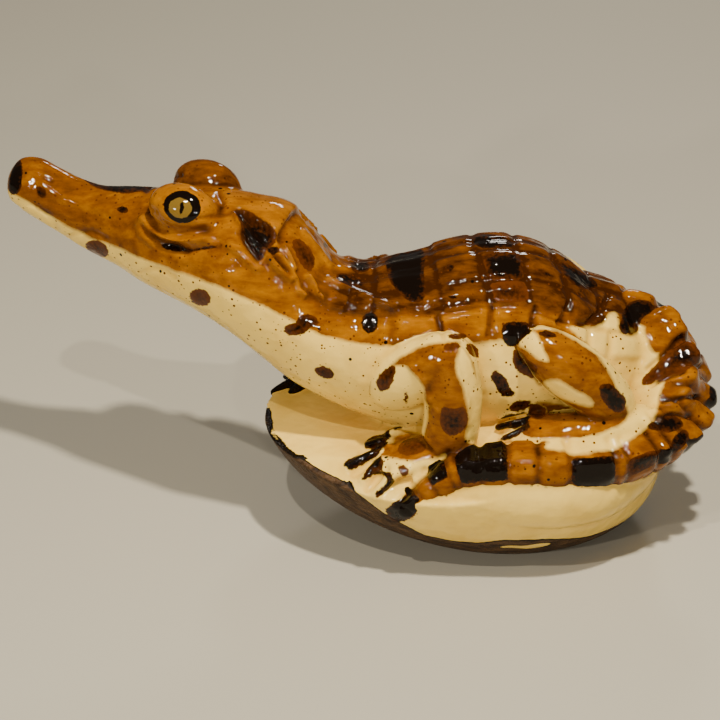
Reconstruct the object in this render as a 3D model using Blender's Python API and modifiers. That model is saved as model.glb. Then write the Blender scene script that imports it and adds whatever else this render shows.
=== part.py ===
"""A crocodile carved from one vegetable ivory nut, lying on the lower half of the same nut.

The carving is one solid. Its forms are sheets wrapped round curved axes, fused into one skin.
Places and radii are shares of the carving's length: a unit is a seventieth of it.
"""

import math

import bmesh
import bpy
import numpy as np
from mathutils import Matrix, Vector

CARVING_LENGTH = 0.066
UNITS_IN_LENGTH = 70.0
UNIT = CARVING_LENGTH / UNITS_IN_LENGTH

# The skin's grid, and the number of triangles that the finished solid keeps.
SKIN_CELL = 0.36 * UNIT
SKIN_SMOOTHING = 3
SOLID_TRIANGLES = 8600

# The nut: its middle, its half sizes, and how far its left end is raised.
NUT_MIDDLE = (-5.0, 0.0, 11.25)
NUT_HALF = (21.2, 15.0, 12.5)
NUT_TILT = 17.0
# Knife cuts that clear the top of the nut: a point of each plane and its normal.
NUT_CUTS = (
    ((-16.0, 0.0, 11.8), (-0.06, -0.05, 1.0)),
    ((-14.0, -12.4, 9.7), (-0.12, -0.46, 0.88)),
)

# The raised part of the cut face, inside the tail's curl.
PLATEAU_MIDDLE = (1.5, -3.4, 10.6)
PLATEAU_HALF = (15.5, 10.2, 3.7)

# Head, neck and trunk: centre x, y, z, half width, height above the axis, depth below it.
SPINE = (
    (-50.3, 10.9, 32.2, 0.3, 0.3, 0.3),
    (-49.6, 10.6, 32.2, 1.9, 2.3, 1.8),
    (-48.2, 10.1, 32.1, 2.5, 3.2, 2.4),
    (-46.4, 9.5, 31.5, 2.6, 3.1, 2.8),
    (-43.9, 8.6, 30.7, 2.5, 3.0, 3.3),
    (-41.2, 7.6, 29.9, 2.8, 3.4, 3.8),
    (-37.6, 6.3, 29.4, 3.7, 4.3, 4.6),
    (-34.5, 5.1, 28.9, 4.8, 5.2, 5.3),
    (-29.3, 3.2, 28.2, 6.0, 6.6, 6.3),
    (-25.5, 1.9, 27.2, 6.9, 6.9, 6.8),
    (-23.2, 1.2, 25.6, 6.8, 6.4, 6.6),
    (-20.5, 0.6, 23.6, 6.9, 5.5, 6.7),
    (-17.5, 0.2, 21.7, 7.2, 6.0, 7.1),
    (-13.2, 0.0, 20.3, 7.9, 7.9, 7.9),
    (-8.0, 0.3, 19.5, 8.6, 9.3, 9.0),
    (-2.0, 0.8, 19.9, 9.1, 9.9, 9.5),
    (2.0, 1.3, 19.4, 9.0, 9.1, 9.0),
    (6.0, 1.9, 18.4, 8.4, 7.1, 8.5),
    (10.0, 2.5, 17.6, 7.4, 6.3, 8.0),
    (13.0, 2.8, 17.4, 5.6, 4.6, 6.5),
    (15.0, 2.9, 17.3, 2.0, 1.6, 2.5),
)

# Tail: centre x, y, z, half width, half height, roll of its back towards the outside.
TAIL = (
    (6.0, 3.0, 17.6, 5.0, 5.4, 0.0),
    (10.0, 3.0, 18.0, 5.4, 5.4, 20.0),
    (13.0, 1.6, 17.5, 5.1, 4.9, 45.0),
    (15.0, -1.4, 15.3, 4.6, 4.4, 60.0),
    (14.9, -4.8, 13.4, 3.8, 3.8, 60.0),
    (12.6, -7.9, 12.3, 3.1, 3.1, 45.0),
    (9.0, -10.5, 12.0, 2.6, 2.6, 30.0),
    (4.0, -12.0, 12.2, 2.4, 2.3, 20.0),
    (-1.0, -12.4, 12.5, 2.2, 2.1, 15.0),
    (-5.0, -12.2, 11.9, 2.0, 1.9, 15.0),
    (-8.0, -12.4, 10.4, 1.7, 1.6, 15.0),
    (-10.3, -12.9, 8.2, 1.2, 1.2, 15.0),
    (-11.2, -13.0, 7.2, 0.3, 0.3, 15.0),
)
# The power that squares the tail's section: 1 is an ellipse, and less is squarer.
TAIL_SQUARENESS = 0.8
# Rings cut round the tail: their number, the stretch of the tail that they share, and their depth.
TAIL_RINGS = 15
RINGED_STRETCH = (0.2, 0.94)
RING_DEPTH = 0.22
# The bank of nut left standing under the tail: its drop below the tail, its half width and half
# height, how near it lies to the nut's middle, and the stretch of the tail that it follows.
BANK = (3.0, 2.7, 3.6)
BANK_INSET = 0.92
BANK_STRETCH = (0.26, 0.60)

# Limbs: centre x, y, z, half width seen from the side, half thickness.
NEAR_ARM = (
    (-13.2, -4.0, 17.0, 2.6, 2.6),
    (-11.4, -6.6, 18.9, 3.2, 3.0),
    (-8.6, -8.4, 21.6, 2.9, 2.7),
    (-6.4, -9.3, 22.9, 2.4, 2.4),
    (-6.0, -9.6, 20.0, 2.8, 2.6),
    (-6.0, -9.7, 16.6, 2.8, 2.4),
    (-6.6, -9.6, 13.4, 2.7, 2.2),
    (-8.2, -9.4, 12.2, 1.6, 1.6),
)
FAR_ARM = (
    (-13.0, 4.0, 17.0, 2.6, 2.6),
    (-11.4, 7.2, 18.9, 3.2, 3.0),
    (-9.4, 9.2, 21.4, 2.8, 2.6),
    (-8.4, 10.0, 22.2, 2.4, 2.3),
    (-9.6, 10.2, 19.2, 2.9, 2.5),
    (-11.8, 9.8, 16.2, 2.8, 2.3),
    (-14.4, 9.0, 13.6, 2.5, 2.1),
    (-16.4, 8.4, 12.4, 1.5, 1.5),
)
NEAR_SHANK = (
    (0.9, -6.5, 22.6, 1.6, 1.6),
    (2.6, -8.0, 23.0, 2.5, 2.2),
    (5.4, -8.6, 21.2, 3.0, 2.5),
    (8.2, -8.1, 18.5, 2.8, 2.5),
    (10.0, -7.3, 16.4, 2.3, 2.2),
    (11.4, -6.7, 14.8, 1.4, 1.4),
)
FAR_SHANK = (
    (0.9, 9.0, 22.2, 1.6, 1.6),
    (2.6, 10.8, 22.4, 2.5, 2.2),
    (5.6, 11.6, 20.2, 3.0, 2.5),
    (8.4, 11.4, 17.2, 2.8, 2.5),
    (10.2, 10.6, 14.8, 2.3, 2.2),
    (11.4, 10.0, 13.4, 1.4, 1.4),
)

# Feet: centre x, y, z, half width, half height.
NEAR_PAW = (
    (-5.6, -9.4, 12.6, 1.6, 1.5),
    (-7.2, -9.3, 12.4, 2.4, 1.7),
    (-9.6, -9.2, 12.0, 2.9, 1.5),
    (-11.8, -9.4, 11.5, 3.0, 1.0),
    (-13.4, -9.5, 10.9, 2.2, 0.6),
)
FAR_PAW = (
    (-13.8, 8.8, 12.8, 1.6, 1.5),
    (-15.4, 8.6, 12.5, 2.4, 1.6),
    (-17.6, 8.0, 12.2, 2.9, 1.3),
    (-19.6, 7.4, 12.0, 2.9, 0.9),
    (-20.8, 7.0, 11.9, 2.0, 0.6),
)
NEAR_FOOT = (
    (14.2, -6.0, 14.4, 1.2, 1.4),
    (12.4, -7.4, 14.6, 2.0, 2.0),
    (9.0, -8.6, 14.6, 2.2, 2.0),
    (5.4, -9.0, 14.5, 2.3, 1.8),
    (2.6, -8.8, 14.5, 2.2, 1.4),
    (0.8, -8.6, 14.4, 1.6, 0.8),
)
FAR_FOOT = (
    (13.0, 10.0, 13.4, 1.2, 1.4),
    (11.2, 11.0, 13.4, 2.0, 1.8),
    (8.0, 12.0, 13.2, 2.2, 1.8),
    (4.6, 12.4, 13.0, 2.3, 1.6),
    (2.0, 12.2, 12.8, 2.2, 1.2),
    (0.2, 12.0, 12.6, 1.6, 0.7),
)

# Toes: from and to, then the radius at the root.
TOE_RADIUS = 0.62
NEAR_PAW_TOES = (
    ((-10.6, -7.0, 12.6), (-12.4, -5.9, 12.2)),
    ((-11.8, -7.6, 12.2), (-14.6, -6.3, 11.4)),
    ((-12.6, -8.8, 11.6), (-16.4, -8.8, 10.5)),
    ((-12.6, -10.2, 11.2), (-15.0, -11.0, 9.9)),
    ((-11.7, -11.2, 11.0), (-13.8, -12.5, 9.2)),
)
FAR_PAW_TOES = (
    ((-19.4, 9.2, 12.2), (-21.0, 10.4, 11.6)),
    ((-20.2, 8.2, 12.1), (-23.0, 8.0, 11.4)),
    ((-20.4, 7.0, 12.1), (-24.2, 4.4, 11.4)),
    ((-20.0, 5.8, 12.2), (-22.2, 4.0, 11.7)),
)
NEAR_FOOT_TOES = (
    ((2.6, -7.0, 15.0), (-0.6, -6.0, 14.5)),
    ((2.2, -8.0, 15.0), (-1.6, -7.8, 14.3)),
    ((1.8, -9.0, 14.6), (-1.4, -9.4, 13.8)),
    ((2.2, -9.9, 14.3), (-0.2, -10.4, 13.6)),
)
FAR_FOOT_TOES = (
    ((2.0, 10.6, 13.2), (-1.0, 10.0, 12.6)),
    ((1.6, 11.6, 13.2), (-2.0, 11.6, 12.4)),
    ((1.6, 12.6, 13.0), (-1.8, 13.0, 12.2)),
    ((2.2, 13.6, 12.8), (-0.6, 14.2, 11.8)),
)

# Eyes: the middle of each bulge beside the skull, and its half length, half width, half height.
EYE_BULGES = ((-32.3, 0.9, 33.8), (-30.2, 7.2, 33.5))
EYE_HALF = (3.6, 2.4, 2.7)
HEAD_TURN = -20.0

# Keeled scutes that stand up from the root of the tail: middle, half sizes, turn in plan.
CREST_SCUTES = (
    ((12.4, 4.1, 21.7), (2.6, 1.0, 1.4), 0.0),
    ((16.5, 3.0, 20.0), (2.6, 1.0, 1.4), -25.0),
    ((18.6, 0.1, 17.9), (2.0, 1.1, 1.4), -70.0),
    ((18.9, -2.8, 15.7), (1.8, 1.1, 1.3), -85.0),
    ((18.5, -5.2, 13.6), (1.8, 1.1, 1.3), -100.0),
)

# Ears: their place along the axis, the angles where they end, half widths there, and depth.
EAR_PLACE = -27.0
EAR_ANGLES = (33.0, 77.0)
EAR_HALVES = (0.9, 2.5)
EAR_DEPTH = 0.9
# The edge of the skull's back, and the two ends of the shield of the nape.
SKULL_EDGE = -24.6
NAPE_SHIELD = (-21.2, -17.4)
NAPE_RISE = 0.5

# Scute plates of the back: where the cuts across it run, and the angles of the rows' edges.
PLATE_CUTS = (-17.6, -13.2, -7.6, -3.2, 1.4, 4.9, 8.4)
ROW_EDGES = (45.0, 60.0, 82.0, 98.0, 120.0, 135.0)
PLATE_RISE = 0.5
KEEL_RISE = 0.4
CUT_DEPTH = 0.45


def follow(keys, t):
    """A smooth curve through the rows of keys, read at t from 0 to 1."""
    keys = np.asarray(keys, float)
    place = np.clip(t, 0, 1) * (len(keys) - 1)
    i = np.minimum(place.astype(int), len(keys) - 2)
    f = (place - i)[:, None]
    before, after = keys[np.maximum(i - 1, 0)], keys[np.minimum(i + 2, len(keys) - 1)]
    a, b = keys[i], keys[i + 1]
    start, end = (b - before) / 2, (after - a) / 2
    return (
        a * (1 + 2 * f) * (1 - f) ** 2
        + start * f * (1 - f) ** 2
        + b * f * f * (3 - 2 * f)
        - end * f * f * (1 - f)
    )


def unit_rows(vectors):
    return vectors / np.linalg.norm(vectors, axis=1, keepdims=True)


def bell(distance, width):
    return np.exp(-((distance / width) ** 2))


def smooth_step(low, high, value):
    """0 below low and 1 above high, or the other way round where low is the greater."""
    share = np.clip((value - low) / (high - low), 0, 1)
    return share * share * (3 - 2 * share)


def wrap(name, along, around, shape):
    """A grid sheet wrapped into a closed tube: shape(t, angle) gives the place of each of its points."""
    form = bmesh.new()
    bmesh.ops.create_grid(form, x_segments=along, y_segments=around, size=0.5)
    mesh = bpy.data.meshes.new(name)
    form.to_mesh(mesh)
    form.free()
    flat = np.empty(len(mesh.vertices) * 3)
    mesh.vertices.foreach_get("co", flat)
    flat = flat.reshape(-1, 3)
    points = shape(flat[:, 0] + 0.5, (flat[:, 1] + 0.5) * math.tau) * UNIT
    mesh.vertices.foreach_set("co", points.ravel())
    form = bmesh.new()
    form.from_mesh(mesh)
    bmesh.ops.remove_doubles(form, verts=form.verts, dist=1e-3 * UNIT)
    bmesh.ops.holes_fill(form, edges=form.edges, sides=0)
    bmesh.ops.recalc_face_normals(form, faces=form.faces)
    form.to_mesh(mesh)
    form.free()
    return mesh


def axis_frames(keys, t, upright=(0.0, 0.0, 1.0)):
    """Centre, side and up directions along an axis, and the rest of each key."""
    row = follow(keys, t)
    step = 1e-3
    ahead, behind = follow(keys, t + step)[:, :3], follow(keys, t - step)[:, :3]
    forward = unit_rows(ahead - behind)
    side = unit_rows(np.cross(forward, np.array(upright)))
    return row[:, :3], side, np.cross(side, forward), row[:, 3:]


def head_relief(x, degrees):
    """The pressed ears, the edge at the back of the skull, and the shield on the nape."""
    from_side = 90 - np.abs(degrees - 90)
    low, high = EAR_ANGLES
    share = np.clip((from_side - low) / (high - low), 0, 1)
    half = EAR_HALVES[0] + (EAR_HALVES[1] - EAR_HALVES[0]) * share
    ear = np.maximum(np.abs(x - EAR_PLACE) / half, np.abs(2 * (from_side - low) / (high - low) - 1))
    relief = -EAR_DEPTH * smooth_step(1.12, 0.8, ear)
    edge = smooth_step(SKULL_EDGE - 2.6, SKULL_EDGE, x) * smooth_step(SKULL_EDGE + 0.6, SKULL_EDGE, x)
    relief += NAPE_RISE * edge * smooth_step(20, 45, from_side)
    start, end = NAPE_SHIELD
    shield = smooth_step(start, start + 0.5, x) * smooth_step(end, end - 0.5, x)
    lumps = np.abs(np.cos(np.radians(3.6 * (degrees - 90))))
    return relief + NAPE_RISE * shield * smooth_step(46, 56, from_side) * (0.5 + 0.6 * lumps)


def plate_relief(x, degrees):
    """The raised scute plates of the back, by the place along the axis and the angle round it."""
    back = smooth_step(41, 46, degrees) * (1 - smooth_step(134, 139, degrees))
    back *= smooth_step(-21.0, -19.5, x) * (1 - smooth_step(8.5, 10.5, x))
    rise = PLATE_RISE * back
    for low, high in zip(ROW_EDGES, ROW_EDGES[1:]):
        rise += KEEL_RISE * back * bell(degrees - (low + high) / 2, 4.5)
        rise -= 0.5 * CUT_DEPTH * back * bell(degrees - high, 1.4)
    for cut in PLATE_CUTS:
        rise -= CUT_DEPTH * back * bell(x - cut, 0.3)
    flank = smooth_step(20, 26, degrees) * (1 - smooth_step(38, 42, degrees))
    flank += smooth_step(138, 142, degrees) * (1 - smooth_step(154, 160, degrees))
    flank *= smooth_step(-15.0, -12.0, x) * (1 - smooth_step(9.0, 11.0, x))
    lumps = np.abs(np.cos(math.pi * (x - 0.6) / 4.6))
    return rise + 0.5 * flank * (lumps**0.5 - 0.45)


def trunk_shape(t, angle):
    centre, side, up, size = axis_frames(SPINE, t)
    x, degrees = centre[:, 0], np.degrees(angle)
    relief = plate_relief(x, degrees) + head_relief(x, degrees)
    across = np.cos(angle) * (size[:, 0] + relief)
    rise = np.sin(angle)
    high = rise * (np.where(rise > 0, size[:, 1], size[:, 2]) + relief)
    return centre + side * across[:, None] + up * high[:, None]


def tail_shape(t, angle):
    centre, side, up, size = axis_frames(TAIL, t)
    roll = np.radians(size[:, 2])
    low, high = RINGED_STRETCH
    ring = (t - low) / (high - low) * TAIL_RINGS
    from_ring = np.abs(ring - np.round(ring))
    cut = RING_DEPTH * bell(from_ring, 0.13) * smooth_step(low - 0.02, low, t)
    cut *= smooth_step(high + 0.02, high, t) * smooth_step(-0.5, 0.2, np.sin(angle))
    c, s = np.cos(angle), np.sin(angle)
    across = np.sign(c) * np.abs(c) ** TAIL_SQUARENESS * (size[:, 0] - cut)
    rise = np.sign(s) * np.abs(s) ** TAIL_SQUARENESS * (size[:, 1] - cut)
    turned_across = across * np.cos(roll) - rise * np.sin(roll)
    turned_rise = across * np.sin(roll) + rise * np.cos(roll)
    return centre + side * turned_across[:, None] + up * turned_rise[:, None]


def bank_shape(t, angle):
    start, stretch = BANK_STRETCH
    centre, side, up, _ = axis_frames(TAIL, start + stretch * t)
    drop, half_width, half_height = BANK
    swell = np.sin(math.pi * np.clip(t, 0.02, 0.98)) ** 0.4
    inset = smooth_step(0.55, 0.25, t) * (1 - BANK_INSET)
    centre = centre * np.stack([1 - inset, 1 - inset, np.ones_like(t)], axis=1)
    centre = centre - np.array([0.0, 0.0, drop])
    across = np.cos(angle) * half_width * swell
    high = np.sin(angle) * half_height * swell
    return centre + side * across[:, None] + up * high[:, None]


def limb_shape(keys, upright):
    """A rounded limb or foot along its keys, closed by a blunt end each way."""

    def shape(t, angle):
        centre, side, up, size = axis_frames(keys, t, upright)
        blunt = np.sqrt(np.clip(1 - (2 * t - 1) ** 8, 0.0004, 1))
        across = np.cos(angle) * size[:, 0] * blunt
        high = np.sin(angle) * size[:, 1] * blunt
        return centre + side * across[:, None] + up * high[:, None]

    return shape


def toe_shape(start, end):
    start, end = np.array(start), np.array(end)
    root = start + 0.35 * (start - end)
    keys = [
        (*(root + (end - root) * share), TOE_RADIUS * thick, TOE_RADIUS * thick)
        for share, thick in ((0, 0.9), (0.35, 1.0), (0.7, 0.95), (1, 0.6))
    ]
    return limb_shape(keys, (0.0, 0.0, 1.0))


def ball(name, middle, half, turn=0.0, tilt=0.0):
    """An ellipsoid in units, turned in plan and then tilted about its own width."""
    form = bmesh.new()
    bmesh.ops.create_uvsphere(form, u_segments=64, v_segments=32, radius=1)
    place = (
        Matrix.Translation(Vector(middle) * UNIT)
        @ Matrix.Rotation(math.radians(turn), 4, "Z")
        @ Matrix.Rotation(math.radians(tilt), 4, "Y")
        @ Matrix.Diagonal((*(Vector(half) * UNIT), 1))
    )
    form.transform(place)
    mesh = bpy.data.meshes.new(name)
    form.to_mesh(mesh)
    form.free()
    return mesh


def nut():
    """The whole nut, with its top cleared by flat knife cuts."""
    mesh = ball("nut", NUT_MIDDLE, NUT_HALF, tilt=NUT_TILT)
    form = bmesh.new()
    form.from_mesh(mesh)
    for point, normal in NUT_CUTS:
        whole = form.verts[:] + form.edges[:] + form.faces[:]
        bmesh.ops.bisect_plane(
            form,
            geom=whole,
            plane_co=Vector(point) * UNIT,
            plane_no=Vector(normal),
            clear_outer=True,
        )
        rim = [edge for edge in form.edges if edge.is_boundary]
        bmesh.ops.holes_fill(form, edges=rim, sides=0)
    form.to_mesh(mesh)
    form.free()
    return mesh


def forms():
    """Every form of the carving, as meshes that overlap one another."""
    sideways, upwards = (0.0, 1.0, 0.0), (0.0, 0.0, 1.0)
    yield nut()
    yield ball("plateau", PLATEAU_MIDDLE, PLATEAU_HALF)
    yield wrap("bank", 60, 32, bank_shape)
    yield wrap("trunk", 260, 120, trunk_shape)
    yield wrap("tail", 180, 48, tail_shape)
    for name, keys in (("arm", NEAR_ARM), ("far_arm", FAR_ARM)):
        yield wrap(name, 60, 32, limb_shape(keys, sideways))
    for name, keys in (("shank", NEAR_SHANK), ("far_shank", FAR_SHANK)):
        yield wrap(name, 60, 32, limb_shape(keys, sideways))
    for keys in (NEAR_PAW, FAR_PAW, NEAR_FOOT, FAR_FOOT):
        yield wrap("foot", 40, 32, limb_shape(keys, upwards))
    for toes in (NEAR_PAW_TOES, FAR_PAW_TOES, NEAR_FOOT_TOES, FAR_FOOT_TOES):
        for start, end in toes:
            yield wrap("toe", 16, 16, toe_shape(start, end))
    for middle in EYE_BULGES:
        yield ball("eye", middle, EYE_HALF, turn=HEAD_TURN, tilt=8)
    for middle, half, turn in CREST_SCUTES:
        yield ball("crest", middle, half, turn=turn)


def joined(name, meshes):
    form = bmesh.new()
    for mesh in meshes:
        form.from_mesh(mesh)
        bpy.data.meshes.remove(mesh)
    mesh = bpy.data.meshes.new(name)
    form.to_mesh(mesh)
    form.free()
    return bpy.data.objects.new(name, mesh)


def outermost(form):
    """Deletes every shell of the form but the largest, such as a bubble closed in between two forms."""
    left, shells = set(form.verts), []
    while left:
        shell, edge_of_shell = set(), [left.pop()]
        while edge_of_shell:
            vertex = edge_of_shell.pop()
            shell.add(vertex)
            near = {edge.other_vert(vertex) for edge in vertex.link_edges} & left
            left -= near
            edge_of_shell.extend(near)
        shells.append(shell)
    shells.sort(key=len)
    for shell in shells[:-1]:
        bmesh.ops.delete(form, geom=list(shell), context="VERTS")


def fused(part):
    """One skin round all the forms, rubbed smooth."""
    skin = part.modifiers.new("one_skin", "REMESH")
    skin.mode = "VOXEL"
    skin.voxel_size = SKIN_CELL
    rubbed = part.modifiers.new("rubbed_smooth", "SMOOTH")
    rubbed.factor = 0.5
    rubbed.iterations = SKIN_SMOOTHING
    mesh = bpy.data.meshes.new_from_object(part.evaluated_get(bpy.context.evaluated_depsgraph_get()))
    part.modifiers.clear()
    form = bmesh.new()
    form.from_mesh(mesh)
    outermost(form)
    bmesh.ops.triangulate(form, faces=form.faces)
    form.to_mesh(mesh)
    form.free()
    part.data = mesh
    return mesh


def table_cutter():
    """The block below the table's level, which takes the flat spot off the underside."""
    form = bmesh.new()
    bmesh.ops.create_cube(form, size=80 * UNIT)
    bmesh.ops.translate(form, verts=form.verts, vec=(0, 0, -40 * UNIT))
    mesh = bpy.data.meshes.new("table_cutter")
    form.to_mesh(mesh)
    form.free()
    cutter = bpy.data.objects.new("table_cutter", mesh)
    cutter.hide_render = True
    cutter.display_type = "WIRE"
    return cutter


def varnished_ivory():
    material = bpy.data.materials.new("varnished_nut_ivory")
    material.use_nodes = True
    shader = material.node_tree.nodes["Principled BSDF"]
    shader.inputs["Base Color"].default_value = (0.42, 0.19, 0.045, 1)
    shader.inputs["Roughness"].default_value = 0.22
    shader.inputs["Metallic"].default_value = 0.0
    return material


def main():
    for thing in list(bpy.data.objects):
        bpy.data.objects.remove(thing)
    scene = bpy.context.scene.collection
    parts = bpy.data.collections.new("crocodile_nut_carving")
    cutters = bpy.data.collections.new("cutters")
    scene.children.link(parts)
    scene.children.link(cutters)

    carving = joined("crocodile_carving", forms())
    parts.objects.link(carving)
    skin = fused(carving)
    skin.materials.append(varnished_ivory())
    skin.shade_smooth()

    fewer = carving.modifiers.new("fewer_faces", "DECIMATE")
    fewer.ratio = SOLID_TRIANGLES / len(skin.polygons)
    cutter = table_cutter()
    cutters.objects.link(cutter)
    flat = carving.modifiers.new("flat_spot", "BOOLEAN")
    flat.operation = "DIFFERENCE"
    flat.solver = "EXACT"
    flat.object = cutter


main()
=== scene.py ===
# A crocodile carved from one vegetable ivory nut, dyed amber, spotted with black and varnished.
import math

import bmesh
import bpy
import numpy as np
from mathutils import Matrix, Vector
from mathutils.bvhtree import BVHTree


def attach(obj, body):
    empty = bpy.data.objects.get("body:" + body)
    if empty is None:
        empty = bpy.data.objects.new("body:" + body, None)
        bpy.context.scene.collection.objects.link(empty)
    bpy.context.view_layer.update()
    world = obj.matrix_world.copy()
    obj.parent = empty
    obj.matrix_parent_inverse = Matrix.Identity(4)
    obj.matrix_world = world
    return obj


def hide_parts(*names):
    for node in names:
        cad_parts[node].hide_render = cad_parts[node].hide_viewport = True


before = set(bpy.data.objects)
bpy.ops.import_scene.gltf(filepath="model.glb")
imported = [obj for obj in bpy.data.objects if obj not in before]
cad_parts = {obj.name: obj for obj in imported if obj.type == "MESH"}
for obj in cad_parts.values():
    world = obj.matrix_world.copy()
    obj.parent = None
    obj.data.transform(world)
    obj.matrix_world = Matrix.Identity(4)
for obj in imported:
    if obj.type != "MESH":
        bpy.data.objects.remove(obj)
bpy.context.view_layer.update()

# The nut
# The whole carving is one vegetable ivory nut, hard and cream inside a thin brown skin. Its upper
# half is cut away round the crocodile, and the lower half stays as the base, sanded flat below.
# Every place is in units of a seventieth of the carving's length.
CARVING_LENGTH = 0.066
UNIT = CARVING_LENGTH / 70.0
NUT_MIDDLE = (-5.0, 0.0, 11.25)
NUT_HALF = (21.2, 15.0, 12.5)
NUT_TILT = 17.0
KNIFE_CUTS = (
    ((-16.0, 0.0, 11.8), (-0.06, -0.05, 1.0)),
    ((-14.0, -12.4, 9.7), (-0.12, -0.46, 0.88)),
)
PLATEAU_MIDDLE = (1.5, -3.4, 10.6)
PLATEAU_HALF = (15.5, 10.2, 3.7)
UP = (0.0, 0.0, 1.0)
SIDEWAYS = (0.0, 1.0, 0.0)

BALL_SEGMENTS = (200, 140)

# What every point carries: how far inside the amber dye and the black ink it lies, in units and
# negative outside, how dark the dye is there, which later takes the painted shade of the hollows,
# and whether it is on the trunk or on the base.
FAR_OUTSIDE = -3.0
PLAIN = {"dye": FAR_OUTSIDE, "ink": FAR_OUTSIDE, "tone": 0.3, "trunk": 0.0, "base": 0.0}
forms = []


def smooth_step(low, high, value):
    """0 below low and 1 above high, or the other way round where low is the greater."""
    share = np.clip((value - low) / (high - low), 0, 1)
    return share * share * (3 - 2 * share)


def bell(distance, width):
    return np.exp(-((distance / width) ** 2))


def meshed(form, name):
    """The form as a mesh of this name, in place of the form."""
    mesh = bpy.data.meshes.new(name)
    form.to_mesh(mesh)
    form.free()
    return mesh


def cut_flat(form, point, normal):
    """Cuts away what lies past a plane, and closes the cut."""
    whole = form.verts[:] + form.edges[:] + form.faces[:]
    bmesh.ops.bisect_plane(form, geom=whole, plane_co=point, plane_no=normal, clear_outer=True)
    rim = [edge for edge in form.edges if edge.is_boundary]
    bmesh.ops.holes_fill(form, edges=rim, sides=0)


def keep_form(form, **paint):
    """Adds a closed form to the carving, with its layers of paint: see PLAIN."""
    for name, level in PLAIN.items():
        values = np.broadcast_to(np.asarray(paint.get(name, level), float), len(form.verts))
        layer = form.verts.layers.float.new(name)
        for vertex, value in zip(form.verts, values):
            vertex[layer] = value
    bmesh.ops.remove_doubles(form, verts=form.verts, dist=1e-3 * UNIT)
    bmesh.ops.holes_fill(form, edges=form.edges, sides=0)
    bmesh.ops.recalc_face_normals(form, faces=form.faces)
    forms.append(meshed(form, "form"))


def ball(middle, half, turn=0.0, tilt=0.0):
    """An ellipsoid, turned in plan and then tilted about its own width."""
    form, (around, rings) = bmesh.new(), BALL_SEGMENTS
    bmesh.ops.create_uvsphere(form, u_segments=around, v_segments=rings, radius=1)
    form.transform(
        Matrix.Translation(Vector(middle) * UNIT)
        @ Matrix.Rotation(math.radians(turn), 4, "Z")
        @ Matrix.Rotation(math.radians(tilt), 4, "Y")
        @ Matrix.Diagonal((*(Vector(half) * UNIT), 1))
    )
    return form


nut = ball(NUT_MIDDLE, NUT_HALF, tilt=NUT_TILT)
for point, normal in KNIFE_CUTS:
    cut_flat(nut, Vector(point) * UNIT, Vector(normal))
keep_form(nut, base=1.0)
keep_form(ball(PLATEAU_MIDDLE, PLATEAU_HALF), base=1.0)

# Head, neck and trunk
# The animal lies along the nut with its head raised. Its back is cut into keeled plates, its
# flanks into a row of round lumps, and its skull ends in an edge above the nape's shield.
# Each station is centre x, y, z, half width, height above the axis and depth below it.
SPINE = (
    (-50.3, 10.9, 32.2, 0.3, 0.3, 0.3),
    (-49.6, 10.6, 32.2, 1.9, 2.3, 1.8),
    (-48.2, 10.1, 32.1, 2.5, 3.2, 2.4),
    (-46.4, 9.5, 31.5, 2.6, 3.1, 2.8),
    (-43.9, 8.6, 30.7, 2.5, 3.0, 3.3),
    (-41.2, 7.6, 29.9, 2.8, 3.4, 3.8),
    (-37.6, 6.3, 29.4, 3.7, 4.3, 4.6),
    (-34.5, 5.1, 28.9, 4.8, 5.2, 5.3),
    (-29.3, 3.2, 28.2, 6.0, 6.6, 6.3),
    (-25.5, 1.9, 27.2, 6.9, 6.9, 6.8),
    (-23.2, 1.2, 25.6, 6.8, 6.4, 6.6),
    (-20.5, 0.6, 23.6, 6.9, 5.5, 6.7),
    (-17.5, 0.2, 21.7, 7.2, 6.0, 7.1),
    (-13.2, 0.0, 20.3, 7.9, 7.9, 7.9),
    (-8.0, 0.3, 19.5, 8.6, 9.3, 9.0),
    (-2.0, 0.8, 19.9, 9.1, 9.9, 9.5),
    (2.0, 1.3, 19.4, 9.0, 9.1, 9.0),
    (6.0, 1.9, 18.4, 8.4, 7.1, 8.5),
    (10.0, 2.5, 17.6, 7.4, 6.3, 8.0),
    (13.0, 2.8, 17.4, 5.6, 4.6, 6.5),
    (15.0, 2.9, 17.3, 2.0, 1.6, 2.5),
)
SKULL_EDGE = -25.1
SKULL_RISE = 0.5
NAPE_SHIELD = (-21.2, -17.4)
NAPE_SHIELD_EDGE = 0.5
NAPE_RISE = 0.18
# Where the plates are parted, as shares of the spine at the crown and at the foot of the back,
# and where the flank's lumps are.
PLATE_CUTS = (
    (0.540, 0.560),
    (0.583, 0.592),
    (0.619, 0.629),
    (0.691, 0.706),
    (0.739, 0.744),
    (0.764, 0.770),
    (0.800, 0.813),
    (0.850, 0.862),
)
LUMP_CUTS = (0.652, 0.700, 0.743, 0.774, 0.808, 0.84, 0.87)
ROW_EDGES = (45.0, 60.0, 82.0, 98.0, 120.0, 135.0)
PLATE_RISE = 0.45
KEEL_RISE = 0.18
CUT_DEPTH = 0.26
LUMP_RISE = 0.4
# Where the plates and the lumps start, are in full, ebb and end, along the body and round it.
PLATED = (-20.5, -19.5, 9.5, 12.0)
LUMPED = (-15.0, -12.0, 11.0, 13.0)
LUMPED_ROUND = (20, 27, 40, 43)
TRUNK_GRID = (420, 260)
# How far round from the side the amber dye comes down, at places along the axis.
DYE_EDGE = (
    (-50.0, 2),
    (-48.8, -2),
    (-45.0, -15),
    (-41.0, -15),
    (-35.7, -5),
    (-30.6, -2),
    (-25.7, 3),
    (-21.8, 13),
    (-17.9, 19),
    (-11.0, 22),
    (-1.4, 23),
    (6.0, 25),
    (13.0, 30),
)


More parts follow.
